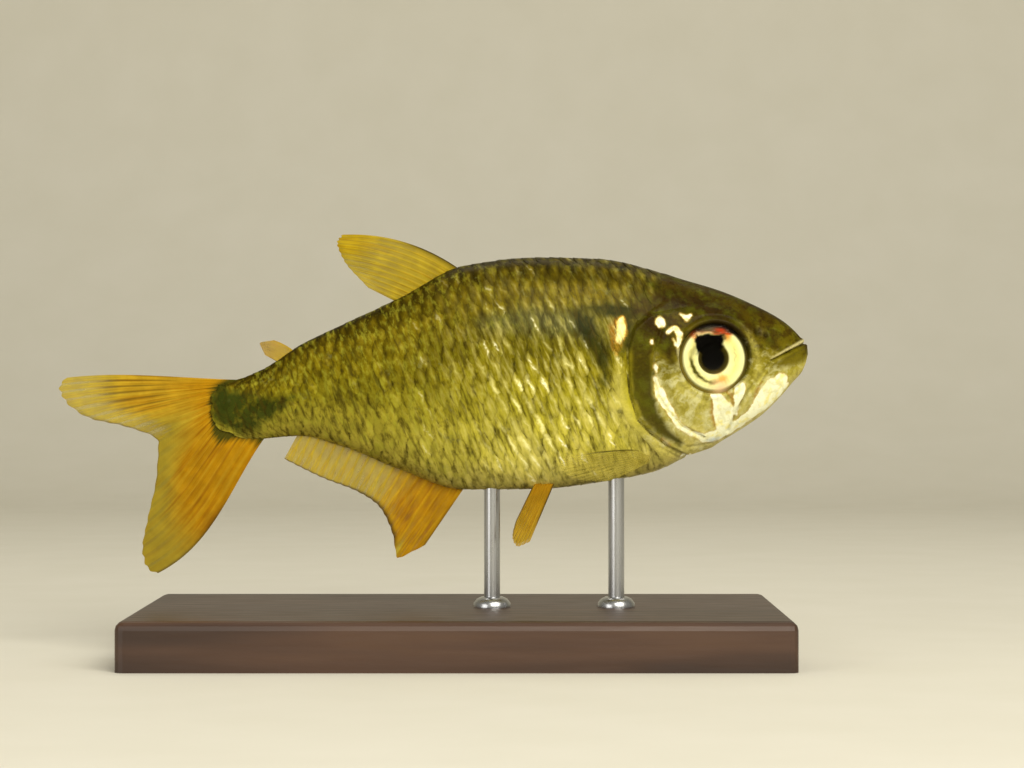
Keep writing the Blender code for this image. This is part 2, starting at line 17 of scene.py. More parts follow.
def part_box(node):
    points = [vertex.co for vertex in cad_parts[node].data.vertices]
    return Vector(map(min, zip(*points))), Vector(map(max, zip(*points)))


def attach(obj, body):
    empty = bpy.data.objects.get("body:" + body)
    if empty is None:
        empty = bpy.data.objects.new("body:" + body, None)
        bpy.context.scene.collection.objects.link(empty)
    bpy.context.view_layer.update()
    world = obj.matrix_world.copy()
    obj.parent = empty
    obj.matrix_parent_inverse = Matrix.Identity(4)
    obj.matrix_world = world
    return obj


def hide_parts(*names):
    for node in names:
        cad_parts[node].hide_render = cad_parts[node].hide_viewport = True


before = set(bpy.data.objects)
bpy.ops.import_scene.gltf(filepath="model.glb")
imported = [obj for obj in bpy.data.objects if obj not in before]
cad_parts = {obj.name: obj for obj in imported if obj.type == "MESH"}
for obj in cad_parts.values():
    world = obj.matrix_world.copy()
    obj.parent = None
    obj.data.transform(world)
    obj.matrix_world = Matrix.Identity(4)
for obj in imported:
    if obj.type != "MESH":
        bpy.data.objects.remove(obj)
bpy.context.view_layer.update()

bl_info = {
    "name": "Display fish",
    "version": (1, 0, 0),
    "blender": (4, 5, 0),
    "location": "View3D > Sidebar > Fish",
    "description": "Skin, scales, eyes, fins, stand and studio of a small characin",
    "category": "Object",
}

MM = 0.001

# Body: place along the fish, top, bottom, half width, share of the height where it is widest
BODY = np.array(
    (
        (-24.2, 25.2, 19.9, 0.42, 0.50),  # root of the tail fin
        (-21.6, 25.6, 19.7, 0.80, 0.50),
        (-18.7, 26.6, 20.1, 1.25, 0.50),  # thinnest part of the tail stalk
        (-14.9, 29.0, 20.4, 1.75, 0.50),  # adipose fin
        (-11.2, 30.8, 19.5, 2.25, 0.51),
        (-5.6, 33.4, 17.3, 3.05, 0.52),  # end of the dorsal fin
        (0.4, 36.4, 15.4, 3.75, 0.53),  # vent
        (7.5, 37.15, 15.45, 4.25, 0.54),  # pelvic fins
        (13.1, 37.0, 16.1, 4.45, 0.54),
        (18.2, 35.9, 17.1, 4.40, 0.54),  # nape
        (20.5, 35.15, 18.2, 4.25, 0.53),  # gill opening
        (24.3, 34.0, 20.0, 3.75, 0.52),  # eye
        (27.9, 32.45, 22.2, 2.95, 0.50),  # nostrils
        (29.9, 31.35, 24.1, 2.15, 0.50),
        (31.1, 30.4, 25.5, 1.50, 0.50),  # lips
        (31.9, 29.5, 26.4, 0.95, 0.50),
        (32.35, 28.8, 27.4, 0.45, 0.50),  # snout
    )
)
# Columns of the body's table
TOP, BOTTOM, HALF, WIDEST = 1, 2, 3, 4
FULLNESS = 0.90
SNOUT_TIP = (32.5, 0.0, 28.1)
TAIL_END = BODY[0, 0]
TAIL_BEND = -12.5
# The curved end of the tail stalk: height, place
TAIL_EDGE = np.array(((19.6, -19.2), (21.1, -22.5), (22.9, -23.6), (24.9, -22.9), (26.0, -21.4)))
# Where the coat of scales begins behind the head: height, place
COAT_EDGE = np.array((
    (16.8, 19.6), (18.6, 18.6), (20.4, 16.9), (22.2, 15.4), (24.5, 14.8), (27.5, 15.1), (29.5, 15.6),
    (31.6, 16.8), (33.2, 18.6), (36.2, 18.4),
))
# Rings of the skin: share of the way from the snout to the tail, place
SKIN_RINGS = ((0.0, 32.35), (0.04, 31.7), (0.66, 15.0), (0.70, 13.0), (1.0, -24.2))

EYE_PLACE = (23.5, 27.65)
EYE_TURN = 9.0
ORBIT_RADIUS = 3.32
IRIS_RADIUS = 3.02
PUPIL_RADIUS = 1.38
MOUTH = ((28.75, 27.45), (30.3, 28.2), (31.6, 28.85), (33.5, 29.8))
JAW_GROOVE = ((28.6, 27.2), (27.6, 25.9), (26.6, 24.5), (25.7, 22.9), (24.9, 21.0))
MAXILLA = ((29.7, 28.1), (28.5, 27.0), (27.5, 25.4))
NOSTRILS = ((28.35, 29.85, 0.26), (27.55, 30.1, 0.36))
GILL_EDGE = (
    (19.4, 32.0), (17.6, 31.7), (16.1, 30.4), (15.6, 28.6), (15.6, 26.6), (15.8, 24.4), (16.5, 22.1),
    (17.7, 20.8), (19.3, 19.6), (21.2, 18.7), (23.4, 19.4),
)
PREOPERCLE = (
    (18.5, 30.6), (18.0, 28.4), (17.9, 26.0), (18.4, 24.3), (19.3, 22.9), (20.6, 21.5), (22.5, 20.6),
)
CHEEK_RIDGE = ((19.2, 26.4), (19.1, 24.9), (19.7, 23.4), (20.7, 22.1))
THROAT_FOLDS = (((18.4, 19.5), (20.4, 18.4), (22.6, 19.0)), ((19.4, 20.4), (21.2, 19.5), (23.4, 19.9)))

# Markings in side view, as paths: place, height, half width. The last number is how soft the edge is.
# The first path of silver is the edge of the cheek, the chin and the lower jaw. Silver is the silvery plates
# of cheek and jaw; their near-white brightness is a painted reflection.
MARKS = {
    "silver": (
        (
            (17.95, 25.9, 0.08), (18.15, 25.2, 0.26), (18.5, 24.3, 0.46), (19.4, 22.7, 0.26),
            (20.3, 21.5, 0.32), (21.5, 20.75, 0.24), (22.6, 20.35, 0.36), (24.0, 20.7, 0.46),
            (25.6, 21.5, 0.4), (27.0, 22.5, 0.44), (28.1, 23.7, 0.8), (29.1, 24.8, 1.04),
            (29.9, 25.75, 0.58),
        ),
        ((29.4, 24.9, 0.5), (30.45, 25.2, 0.26)),
        ((18.6, 25.0, 0.05), (19.1, 23.8, 0.13), (20.1, 21.95, 0.11)),
        ((23.2, 24.3, 0.12), (23.9, 23.8, 0.56), (24.4, 22.8, 0.98), (24.5, 21.6, 0.84)),
        ((25.9, 25.0, 0.5), (25.75, 24.2, 0.46), (25.6, 23.5, 0.22), (25.5, 22.6, 0.2)),
        ((18.45, 31.0, 0.43), (18.55, 30.85, 0.4)),
        ((20.4, 31.65, 0.08), (20.9, 31.35, 0.26), (21.4, 31.65, 0.06)),
        (
            (19.25, 30.1, 0.16), (19.55, 30.4, 0.18), (19.95, 30.4, 0.24), (20.25, 29.8, 0.3),
            (20.2, 29.2, 0.2), (20.05, 28.6, 0.06),
        ),
        ((19.7, 29.4, 0.08), (19.95, 28.9, 0.14)),
        ((17.7, 29.25, 0.15), (17.75, 29.05, 0.13)),
        ((18.0, 27.15, 0.08), (18.05, 26.8, 0.17), (18.1, 26.4, 0.06)),
        ((20.6, 18.6, 0.1), (21.3, 18.75, 0.2)),
        0.5,
    ),
    "gold": (((14.75, 30.95, 0.32), (14.8, 30.2, 0.46), (14.6, 29.3, 0.32), (14.5, 28.3, 0.06)), 0.5),
    "amber": (
        ((14.3, 31.0, 0.2), (14.05, 30.3, 0.28), (14.2, 29.3, 0.22), (14.5, 28.6, 0.1)),
        ((24.4, 24.75, 0.1), (25.1, 24.35, 0.16), (25.25, 23.4, 0.1)),
        ((23.3, 23.7, 0.08), (23.35, 22.5, 0.16), (23.6, 21.5, 0.06)),
        ((27.9, 25.5, 0.06), (27.45, 24.6, 0.12), (27.2, 23.6, 0.06)),
        ((18.7, 20.25, 0.12), (19.3, 19.75, 0.14)),
        0.7,
    ),
    "ash": (
        (
            (15.25, 27.4, 0.05), (15.3, 25.4, 0.2), (15.45, 23.2, 0.24), (16.5, 21.25, 0.26),
            (18.3, 19.5, 0.24), (20.1, 18.3, 0.14),
        ),
        0.5,
    ),
    # a small painted bluish glint at the lower edge of the head, below the eye
    "ice": (((22.9, 20.2, 0.04), (23.4, 20.2, 0.12), (24.0, 20.4, 0.05)), 0.5),
    "lip": (((28.8, 27.68, 0.04), (30.2, 28.42, 0.09), (31.8, 29.2, 0.14), (33.6, 29.9, 0.12)), 0.24),
    "eye_tail": (((20.1, 28.5, 0.1), (20.25, 27.3, 0.07), (20.7, 26.0, 0.03)), 0.3),
    "umber": (
        ((17.4, 32.5, 0.8), (18.8, 33.0, 1.1), (20.6, 32.9, 1.2), (23.4, 32.3, 0.9), (26.0, 31.2, 0.4)),
        ((17.6, 31.8, 0.9), (18.3, 30.6, 1.3), (19.0, 29.0, 0.9), (19.5, 27.4, 0.3)),
        ((16.9, 34.0, 0.3), (16.6, 33.0, 0.6), (16.3, 31.6, 0.5)),
        ((20.8, 30.9, 0.3), (22.6, 31.6, 0.4), (24.8, 31.3, 0.4), (26.4, 30.4, 0.3)),
        ((26.4, 30.9, 0.3), (27.7, 30.1, 0.35), (29.0, 29.2, 0.45), (29.6, 28.6, 0.2)),
        1.4,
    ),
    "opercle": (
        (
            (17.0, 31.4, 0.8), (16.8, 29.8, 1.0), (16.75, 26.5, 1.0), (16.9, 24.2, 1.0), (17.6, 22.4, 0.85),
            (18.9, 20.9, 0.6), (20.4, 19.9, 0.3),
        ),
        0.9,
    ),
    "humeral": (
        ((10.7, 31.9, 0.5), (11.6, 30.4, 1.2), (12.8, 28.7, 1.0), (13.3, 26.6, 0.6), (13.5, 24.2, 0.1)),
        ((11.6, 32.2, 0.5), (14.0, 32.2, 0.8), (16.6, 31.9, 0.8)),
        ((15.6, 31.4, 0.5), (15.5, 28.8, 0.45)),
        1.3,
    ),
    "pale": (
        (
            (14.8, 27.2, 0.2), (14.5, 25.2, 0.6), (14.6, 23.3, 0.8), (15.8, 21.2, 0.6), (18.6, 19.0, 0.9),
            (21.5, 19.2, 0.7),
        ),
        ((5.4, 21.6, 0.6), (6.4, 19.0, 1.0), (9.0, 17.6, 0.8)),
        (
            (25.8, 30.95, 0.02), (26.5, 30.15, 0.12), (27.05, 29.2, 0.2), (27.5, 27.9, 0.25),
            (27.7, 26.2, 0.35), (27.2, 24.6, 0.4),
        ),
        ((27.7, 30.3, 0.2), (28.0, 30.0, 0.2)),
        ((19.9, 25.9, 0.4), (21.0, 24.2, 1.0), (22.4, 22.9, 0.7)),
        ((26.4, 25.2, 0.4), (27.0, 23.4, 1.0), (28.4, 25.6, 0.5)),
        1.2,
    ),
    "green": (
        ((-22.6, 24.5, 1.1), (-21.4, 23.0, 1.9), (-19.8, 22.6, 2.0), (-18.0, 23.1, 1.2), (-15.8, 24.0, 0.4)),
        1.7,
    ),
    "olive": (
        ((29.7, 27.1, 0.3), (30.9, 27.6, 0.7), (31.9, 28.0, 0.6)),
        ((29.4, 30.9, 0.3), (30.9, 29.9, 0.5)),
        1.0,
    ),
    "blue": (((2.0, 31.0, 0.6), (6.0, 31.2, 1.3), (11.0, 30.8, 1.2)), 2.2),
    # shine: the zone of painted glints on the front flank
    "shine": (((5.2, 24.0, 1.4), (6.4, 20.2, 2.2)), ((9.6, 25.6, 1.0), (13.0, 23.0, 1.0)), 5.5),
}
HALO_SOFTNESS = 4.2

# Fins, as in the solids: the first number of a point is the share from the first ray to the last. A root with
# a sink runs that far inside the back, or inside the belly where the sink is below zero.
DORSAL = {
    "root": (0.2, -5.7),
    "sink": 0.5,
    "bow": ((0.0, 0.085), (1.0, 0.0)),
    "margin": ((0.0, -11.0, 39.3), (0.25, -11.5, 38.5), (0.55, -10.9, 36.9), (1.0, -8.6, 34.3)),
    "rays": 11,
    "wave": 0.22,
}
ADIPOSE = {
    "root": (-15.4, -16.9),
    "sink": 0.4,
    "bow": ((0.0, 0.05), (1.0, 0.0)),
    "margin": ((0.0, -17.4, 29.4), (0.5, -18.7, 29.1), (1.0, -18.2, 28.0)),
    "rays": 0,
    "wave": 0.05,
    "thickness": 1.5,
}
ANAL = {
    "root": (0.6, -15.0),
    "sink": -0.5,
    "bow": ((0.0, 0.0), (1.0, 0.0)),
    "margin": (
        (0.0, -3.3, 10.2), (0.1, -5.8, 9.0), (0.21, -6.3, 11.3), (0.37, -7.5, 13.8), (0.53, -9.5, 15.2),
        (0.75, -12.8, 16.5), (1.0, -16.4, 18.3),
    ),
    "rays": 20,
    "wave": 0.28,
    "rows": 60,
}
TAIL = {
    "root": (
        (0.0, -20.65, 25.7), (0.25, -22.15, 24.8), (0.5, -22.85, 22.9), (0.75, -21.75, 21.3),
        (1.0, -18.25, 20.25),
    ),
    "bow": ((0.0, 0.02), (0.5, 0.0), (1.0, -0.072)),
    "skew": 1.6,
    "margin": (
        (0.0, -36.9, 25.9), (0.06, -37.5, 25.0), (0.15, -36.9, 23.7), (0.25, -34.6, 22.1),
        (0.375, -31.2, 21.3), (0.5, -28.2, 19.8), (0.6, -28.4, 16.6), (0.725, -29.2, 12.8),
        (0.85, -29.7, 9.9), (0.94, -29.3, 8.2), (1.0, -28.3, 7.5),
    ),
    "rays": 20,
    "wave": 0.25,
    "rows": 76,
}
PECTORAL = {
    "root": ((0.0, 17.7, 19.2), (1.0, 17.4, 18.0)),
    "bow": ((0.0, 0.03), (1.0, -0.02)),
    "margin": ((0.0, 9.2, 18.6), (0.35, 8.9, 17.6), (0.7, 10.6, 16.5), (1.0, 13.6, 16.3)),
    "side": 2.3,
    "turn": (0.0, 0.0, -19.0),
    "rays": 12,
}
PELVIC = {
    "root": ((0.0, 8.9, 16.3), (1.0, 7.1, 16.3)),
    "bow": ((0.0, 0.0), (1.0, 0.0)),
    "margin": ((0.0, 6.5, 10.5), (0.35, 5.4, 10.1), (0.7, 4.9, 10.9), (1.0, 5.2, 12.3)),
    "side": 1.15,
    "turn": (14.0, 0.0, 0.0),
    "rays": 8,
}
PAIRED = {"wave": 0.12, "columns": 7, "rows": 44, "thickness": 1.3}


def smooth_value(knots, values, at):
    """A cubic through the values, without overshoot where they turn."""
    knots = np.asarray(knots, float)
    values = np.asarray(values, float)
    widths = np.diff(knots)
    steps = np.diff(values) / widths
    slopes = np.empty_like(values)
    slopes[0] = steps[0]
    slopes[-1] = steps[-1]
    product = steps[:-1] * steps[1:]
    total = np.where(product > 0, steps[:-1] + steps[1:], 1.0)
    slopes[1:-1] = np.where(product > 0, 2.0 * product / total, 0.0)
    at = np.clip(at, knots[0], knots[-1])
    i = np.clip(np.searchsorted(knots, at, side="right") - 1, 0, len(widths) - 1)
    width = widths[i]
    t = (at - knots[i]) / width
    rise = t * t * (3.0 - 2.0 * t)
    lean = t * (1.0 - t) * ((1.0 - t) * slopes[i] - t * slopes[i + 1]) * width
    return values[i] + rise * (values[i + 1] - values[i]) + lean


def soft_step(low, high, value):
    """0 below low, 1 above high, smooth between."""
    t = np.clip((np.asarray(value, float) - low) / (high - low), 0.0, 1.0)
    return t * t * (3.0 - 2.0 * t)


def bump_at(distance, width):
    """A soft bump or groove across a line."""
    return np.exp(-((distance / width) ** 2))


def body_size(column, place):
    """One of the body's sizes at each place."""
    return smooth_value(BODY[:, 0], BODY[:, column], place)


def sizes_at(place):
    """Top, bottom and height of the widest line of the body at each place."""
    top = body_size(TOP, place)
    bottom = body_size(BOTTOM, place)
    return top, bottom, bottom + body_size(WIDEST, place) * (top - bottom)


def body_point(place, angle):
    """Points on the body, with the tail stalk ending on its curved edge."""
    place = np.asarray(place, float)
    angle = np.asarray(angle, float)
    bent = soft_step(TAIL_BEND, TAIL_END, place)
    x = place
    for _ in range(4):
        top, bottom, widest = sizes_at(x)
        reach = np.where(np.sin(angle) > 0, top - widest, widest - bottom)
        z = widest + reach * np.sin(angle)
        x = place + bent * (smooth_value(TAIL_EDGE[:, 0], TAIL_EDGE[:, 1], z) - TAIL_END)
    half = body_size(HALF, place)
    y = half * np.sign(np.cos(angle)) * np.abs(np.cos(angle)) ** FULLNESS
    return np.stack(np.broadcast_arrays(x, y, z), axis=-1)


def body_side(place, height):
    """Half width of the body at a place and height."""
    top, bottom, widest = sizes_at(place)
    reach = np.where(np.asarray(height) > widest, top - widest, widest - bottom)
    share = np.clip(np.abs(height - widest) / reach, 0.0, 1.0)
    half = body_size(HALF, place)
    return half * np.sqrt(1.0 - share * share) ** FULLNESS


def body_normal(place, angle):
    """Outward directions on the body."""
    small = 0.02
    along = body_point(place + small, angle) - body_point(place - small, angle)
    around = body_point(place, angle + small) - body_point(place, angle - small)
    normal = np.cross(around, along)
    length = np.linalg.norm(normal, axis=-1, keepdims=True)
    return normal / np.maximum(length, 1e-9)


def from_segment(x, z, start, end):
    """Distance to a segment in side view, the share of the way along it, and above zero on its left."""
    across = x - start[0]
    up = z - start[1]
    dx = end[0] - start[0]
    dz = end[1] - start[1]
    t = np.clip((across * dx + up * dz) / (dx * dx + dz * dz), 0.0, 1.0)
    return np.hypot(across - t * dx, up - t * dz), t, dx * up - dz * across


def path_distance(x, z, path):
    """Distance to a path in side view, and on which side of it each point lies."""
    best = np.full(np.shape(x), 1e9)
    side = np.zeros(np.shape(x))
    for start, end in zip(path, path[1:]):
        away, _, cross = from_segment(x, z, start, end)
        nearer = away < best - 1e-7
        best = np.where(nearer, away, best)
        side = np.where(nearer, np.sign(cross), side)
    return best, side


def patches(x, z, marks):
    """How deep each point lies in any of the marks: a half on their edges."""
    *paths, soft = marks
    cover = np.zeros(np.shape(x))
    for path in paths:
        best = np.full(np.shape(x), 1e9)
        for start, end in zip(path, path[1:]):
            away, t, _ = from_segment(x, z, start, end)
            best = np.minimum(best, away - start[2] - t * (end[2] - start[2]))
        cover = np.maximum(cover, 1.0 - soft_step(-soft / 2, soft / 2, best))
    return cover


def edge_distance(x, z, path):
    """Distance to an edge of the head, below zero outside it."""
    away, side = path_distance(x, z, path)
    return np.where(side > 0, away, -away)


def round_eye(x, z):
    """Distance from the middle of the eye in side view, and the angle round it."""
    across = x - EYE_PLACE[0]
    up = z - EYE_PLACE[1]
    return np.hypot(across, up), np.arctan2(up, across)


def bare_head(x, z):
    """1 on the bare head, 0 in the coat of scales."""
    edge = smooth_value(COAT_EDGE[:, 0], COAT_EDGE[:, 1], z)
    return soft_step(-0.25, 0.1 + 0.8 * soft_step(30.8, 32.4, z), x - edge)


def relief(x, z):
    """Height of the head's forms over the plain body, in side view."""
    head = bare_head(x, z)
    out = -COAT_DEPTH * (1.0 - head)
    radius, _ = round_eye(x, z)
    out -= 1.3 * soft_step(ORBIT_RADIUS + 0.05, ORBIT_RADIUS - 0.4, radius)
    out += 0.10 * bump_at(radius - ORBIT_RADIUS - 0.22, 0.20)
    out -= 0.05 * bump_at(radius - ORBIT_RADIUS - 0.65, 0.16)
    mouth, _ = path_distance(x, z, MOUTH)
    opened = soft_step(28.6, 28.9, x)
    out += 0.13 * bump_at(mouth - 0.30, 0.22) * opened
    out -= 0.22 * bump_at(mouth, 0.085) * opened
    jaw, jaw_side = path_distance(x, z, JAW_GROOVE)
    out -= 0.13 * bump_at(jaw, 0.13)
    out += 0.08 * bump_at(jaw - 0.3, 0.2) * (jaw_side > 0)
    maxilla, _ = path_distance(x, z, MAXILLA)
    out += 0.11 * bump_at(maxilla, 0.28)
    for place, height, size in NOSTRILS:
        away = np.hypot(x - place, z - height)
        out -= 0.16 * soft_step(size, size * 0.2, away)
        out += 0.03 * bump_at(away - size - 0.1, 0.16)
    inside = edge_distance(x, z, GILL_EDGE)
    out += 0.24 * soft_step(-0.05, 0.16, inside) * np.exp(-np.maximum(inside, 0.0) / 1.1)
    out -= (0.02 + 0.13 * soft_step(31.0, 26.5, z)) * bump_at(inside + 0.12, 0.12)
    behind = edge_distance(x, z, PREOPERCLE)
    out += 0.13 * bump_at(behind - 0.12, 0.16)
    out -= 0.09 * bump_at(behind + 0.12, 0.12)
    cheek, _ = path_distance(x, z, CHEEK_RIDGE)
    out += 0.06 * bump_at(cheek, 0.15)
    for fold in THROAT_FOLDS:
        away, _ = path_distance(x, z, fold)
        out -= 0.08 * bump_at(away, 0.09)
    return out


def write_marks(mesh, points):
    """Stores the fish's markings on a mesh, for its materials, with painted shade in its grooves and hollows
    and the zone of painted glints.
    """
    x, y, z = points.T
    top, bottom, _ = sizes_at(x)
    head = bare_head(x, z)
    radius, sweep = round_eye(x, z)
    # painted shade: the dark mark darkens the eye's socket, deepest at the upper right under its rim, and the
    # mouth, gill opening, jaw groove and nostrils
    wide = ORBIT_RADIUS + 0.02 + 0.17 * np.cos(sweep - radians(55.0))
    socket = 1.0 - soft_step(wide - 0.10, wide + 0.22, radius)
    socket = socket * (0.52 + 0.48 * np.cos(sweep - radians(60.0)))
    mouth, _ = path_distance(x, z, MOUTH)
    jaw, _ = path_distance(x, z, JAW_GROOVE)
    slit = bump_at(edge_distance(x, z, GILL_EDGE) + 0.08, 0.10) * (0.10 + 0.90 * soft_step(31.0, 26.5, z))
    groove = bump_at(mouth, 0.06) * soft_step(28.5, 28.9, x)
    dark = [socket, 0.40 * groove, 0.36 * slit, 0.30 * bump_at(jaw, 0.12)]
    for place, height, size in NOSTRILS:
        dark.append(0.6 * soft_step(size * 1.6, size * 0.3, np.hypot(x - place, z - height)))
    marks = {name: patches(x, z, paths) for name, paths in MARKS.items()}
    halo = patches(x, z, (*MARKS["silver"][:-1], HALO_SOFTNESS))
    marks["lip"] = np.maximum(marks["lip"], 0.8 * marks.pop("eye_tail"))
    marks["silver"] = marks["silver"] * head * (1.0 - socket) * soft_step(0.3, 1.1, np.abs(y))
    marks["halo"] = halo * head * (1.0 - socket) * soft_step(27.4, 24.8, z)
    marks["ash"] = marks["ash"] * (1.0 - head)
    marks["opercle"] = marks["opercle"] * head
    marks["dark"] = np.max(dark, axis=0)
    marks["height"] = np.clip((z - bottom) / (top - bottom), 0.0, 1.0)
    marks["front"] = soft_step(-9.0, 9.0, x)
    marks["head"] = soft_step(15.2, 18.2, x)
    for name, values in marks.items():
        write_values(mesh, name, values)


def write_values(mesh, name, values):
    """Stores a number or a vector for each vertex."""
    values = np.ascontiguousarray(values, np.float32)
    kind, field = ("FLOAT", "value") if values.ndim == 1 else ("FLOAT_VECTOR", "vector")
    mesh.attributes.new(name, kind, "POINT").data.foreach_set(field, values.ravel())


def vertex_array(mesh):
    """The places of a mesh's vertices."""
    points = np.empty(len(mesh.vertices) * 3, np.float32)
    mesh.vertices.foreach_get("co", points)
    return points.reshape(-1, 3).astype(float)


def put_vertices(mesh, points):
    """Moves a mesh's vertices to places given in millimetres."""
    mesh.vertices.foreach_set("co", np.ascontiguousarray(points * MM, np.float32).ravel())
    mesh.update()


def piece_from(name, mesh, material, nodes=()):
    """A finished piece of the fish, in place of the solids that it stands for."""
    made = bpy.data.objects.new(name, mesh)
    bpy.context.scene.collection.objects.link(made)
    mesh.materials.append(material)
    mesh.shade_smooth()
    mesh.set_sharp_from_angle(angle=radians(50.0))
    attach(made, "root")
    if nodes:
        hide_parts(*nodes)


def mesh_from(name, bm):
    """A mesh from a bmesh."""
    mesh = bpy.data.meshes.new(name)
    bm.to_mesh(mesh)
    bm.free()
    return mesh


def linear(hex_colour):
    """An sRGB hex colour as linear red, green, blue and alpha."""
    parts = [int(hex_colour[i : i + 2], 16) / 255 for i in (1, 3, 5)]
    turned = [c / 12.92 if c <= 0.04045 else ((c + 0.055) / 1.055) ** 2.4 for c in parts]
    return (*turned, 1.0)


# Words for shader nodes: kind, inputs that take the values in turn, output, settings.
# Any other word is the operation of a Math node.
NODE_WORDS = {
    "place": ("TexCoord", (), "Object", {}),
    "value": ("Attribute", (), "Fac", {}),
    "vector": ("Attribute", (), "Vector", {}),
    "noise": ("TexNoise", ("Vector", "Scale", "Detail", "Roughness"), 0, {}),
    "stray": ("TexNoise", ("Vector", "Scale", "Detail"), "Color", {}),
    "cells": ("TexVoronoi", ("Vector", "Scale"), 0, {}),
    "spread": ("Mapping", ("Vector", "Scale"), 0, {}),
    "laid": ("Mapping", ("Vector", "Location", "Rotation", "Scale"), 0, {"vector_type": "TEXTURE"}),
    "blob": ("TexGradient", (0,), "Fac", {"gradient_type": "QUADRATIC_SPHERE"}),
    "cone": ("TexGradient", (0,), "Fac", {"gradient_type": "SPHERICAL"}),
    "moved": ("VectorMath", (0, 1, 2), 0, {"operation": "MULTIPLY_ADD"}),
    "range": ("MapRange", (0, 1, 2, 3, 4), 0, {}),
    "ramp": ("ValToRGB", (0,), 0, {}),
    "layer": ("Mix", (0, 6, 7), 2, {"data_type": "RGBA"}),
    "tint": ("Mix", (0, 6, 7), 2, {"data_type": "RGBA", "blend_type": "MULTIPLY"}),
    "sheet": ("CombineXYZ", (0, 1, 2), 0, {}),
    "bands": ("TexWave", ("Vector", "Scale", "Distortion", "Detail", "Detail Scale"), "Fac", {}),
    "bump": ("Bump", ("Height", "Strength", "Distance"), 0, {}),
}


def node(tree, word, *values, stops=(), **settings):
    """Adds the shader node that a word stands for and gives back its output.

    A sum, difference or product of more than two values is chained from the left.
    """
    if word in ("MULTIPLY", "ADD", "SUBTRACT") and len(values) > 2:
        values = (node(tree, word, *values[:-1]), values[-1])
    kind, sockets, output, preset = NODE_WORDS.get(word, ("Math", (0, 1, 2), 0, {"operation": word}))
    added = tree.nodes.new("ShaderNode" + kind)
    for name, value in {**preset, **settings}.items():
        setattr(added, name, value)
    for _ in stops[2:]:
        added.color_ramp.elements.new(1.0)
    for stop, (place, colour) in enumerate(stops):
        added.color_ramp.elements[stop].position = place
        added.color_ramp.elements[stop].color = linear(colour)
    fill(added, dict(zip(sockets, values)))
    return added.outputs[output]


def fill(owner, values):
    """Links or sets the inputs of a node."""
    for name, value in values.items():
        socket = owner.inputs[name]
        if isinstance(value, bpy.types.NodeSocket):
            owner.id_data.links.new(value, socket)
        else:
            socket.default_value = linear(value) if isinstance(value, str) else value


def new_material(name):
    """An empty material, the call that adds its nodes, and its shader."""
    material = bpy.data.materials.new(name)
    material.use_nodes = True
    return material, partial(node, material.node_tree), material.node_tree.nodes["Principled BSDF"]


def eaten(add, value, noise, depth, **settings):
    """A value that noise eats into, by up to half the depth each way."""
    return add("ADD", value, add("MULTIPLY_ADD", noise, depth, -depth / 2), **settings)


def fish_colour(add, settings):
    """The markings that skin and scales share, from the values stored on the mesh."""
    at = {name: add("value", attribute_name=name) for name in MARK_NAMES}
    place = add("place")
    blotch = add("noise", place, 1 / (1.3 * MM), 3.0)
    fleck = add("noise", place, 1 / (0.35 * MM), 4.0)
    spot = add("noise", place, 1 / (0.75 * MM), 3.0)
    cloud = add("noise", place, 1 / (3.2 * MM), 2.0)
    height = eaten(add, at["height"], blotch, 0.14)
    rear, front, head = (add("ramp", height, stops=stops) for stops in (REAR_STOPS, FRONT_STOPS, HEAD_STOPS))
    colour = add("layer", at["front"], rear, front)
    colour = add("layer", at["head"], colour, head)
    for name, strength, ragged, tint in SOFT_PATCHES:
        edge = eaten(add, eaten(add, at[name], blotch, 2 * ragged), fleck, 1.2 * ragged)
        colour = add("layer", add("range", edge, 0.15, 0.95, 0.0, strength), colour, tint)
    # green and brown mottling of the dark skin
    high = add("MULTIPLY", add("range", at["height"], 0.45, 0.65), at["head"])
    dark_skin = add("MAXIMUM", add("MAXIMUM", at["opercle"], at["umber"]), high)
    mottle = add("MULTIPLY", add("range", blotch, 0.44, 0.70, 0.0, 0.66), dark_skin)
    colour = add("layer", mottle, colour, "#5A5A0A")
    brown = add("MULTIPLY", add("range", spot, 0.50, 0.36, 0.0, 0.70), high)
    colour = add("layer", brown, colour, "#352402")
    grit = add("MULTIPLY_ADD", cloud, 0.76, add("MULTIPLY_ADD", fleck, 0.56, 0.32))
    colour = add("tint", 1.0, colour, grit)
    # bright marks: the golden spot, and the silvery plates whose near-white brightness is a painted
    # reflection
    for name, ragged, fringe, dull, bright in BRIGHT_MARKS:
        edge = eaten(add, eaten(add, at[name], spot, ragged), fleck, 0.4)
        edge = add("MULTIPLY", edge, add("MULTIPLY", at[name], 8.0, use_clamp=True))
        outer = add("range", edge, 0.08, 0.50, 0.0, 0.8)
        inner = add("range", edge, 0.32, 0.70, 0.0, 1.0)
        middle = add("layer", add("range", spot, 0.36, 0.50), dull, getattr(settings, bright))
        colour = add("layer", outer, colour, fringe)
        colour = add("layer", inner, colour, middle)
    # a pale lip, a painted bluish glint at the lower edge of the head, and painted shade in the grooves and
    # hollows
    crease_shade = add("MULTIPLY", at["dark"], 0.9)
    for cover, tint in ((at["lip"], "#CFC488"), (at["ice"], "#C2D0D6"), (crease_shade, "#1A1004")):
        colour = add("layer", cover, colour, tint)
    return colour, at, place, fleck, inner


MARK_NAMES = (
    "height", "front", "head", "silver", "halo", "ice", "gold", "amber", "ash", "lip", "dark", "umber",
    "opercle", "olive", "humeral", "pale", "green", "blue", "shine",
)
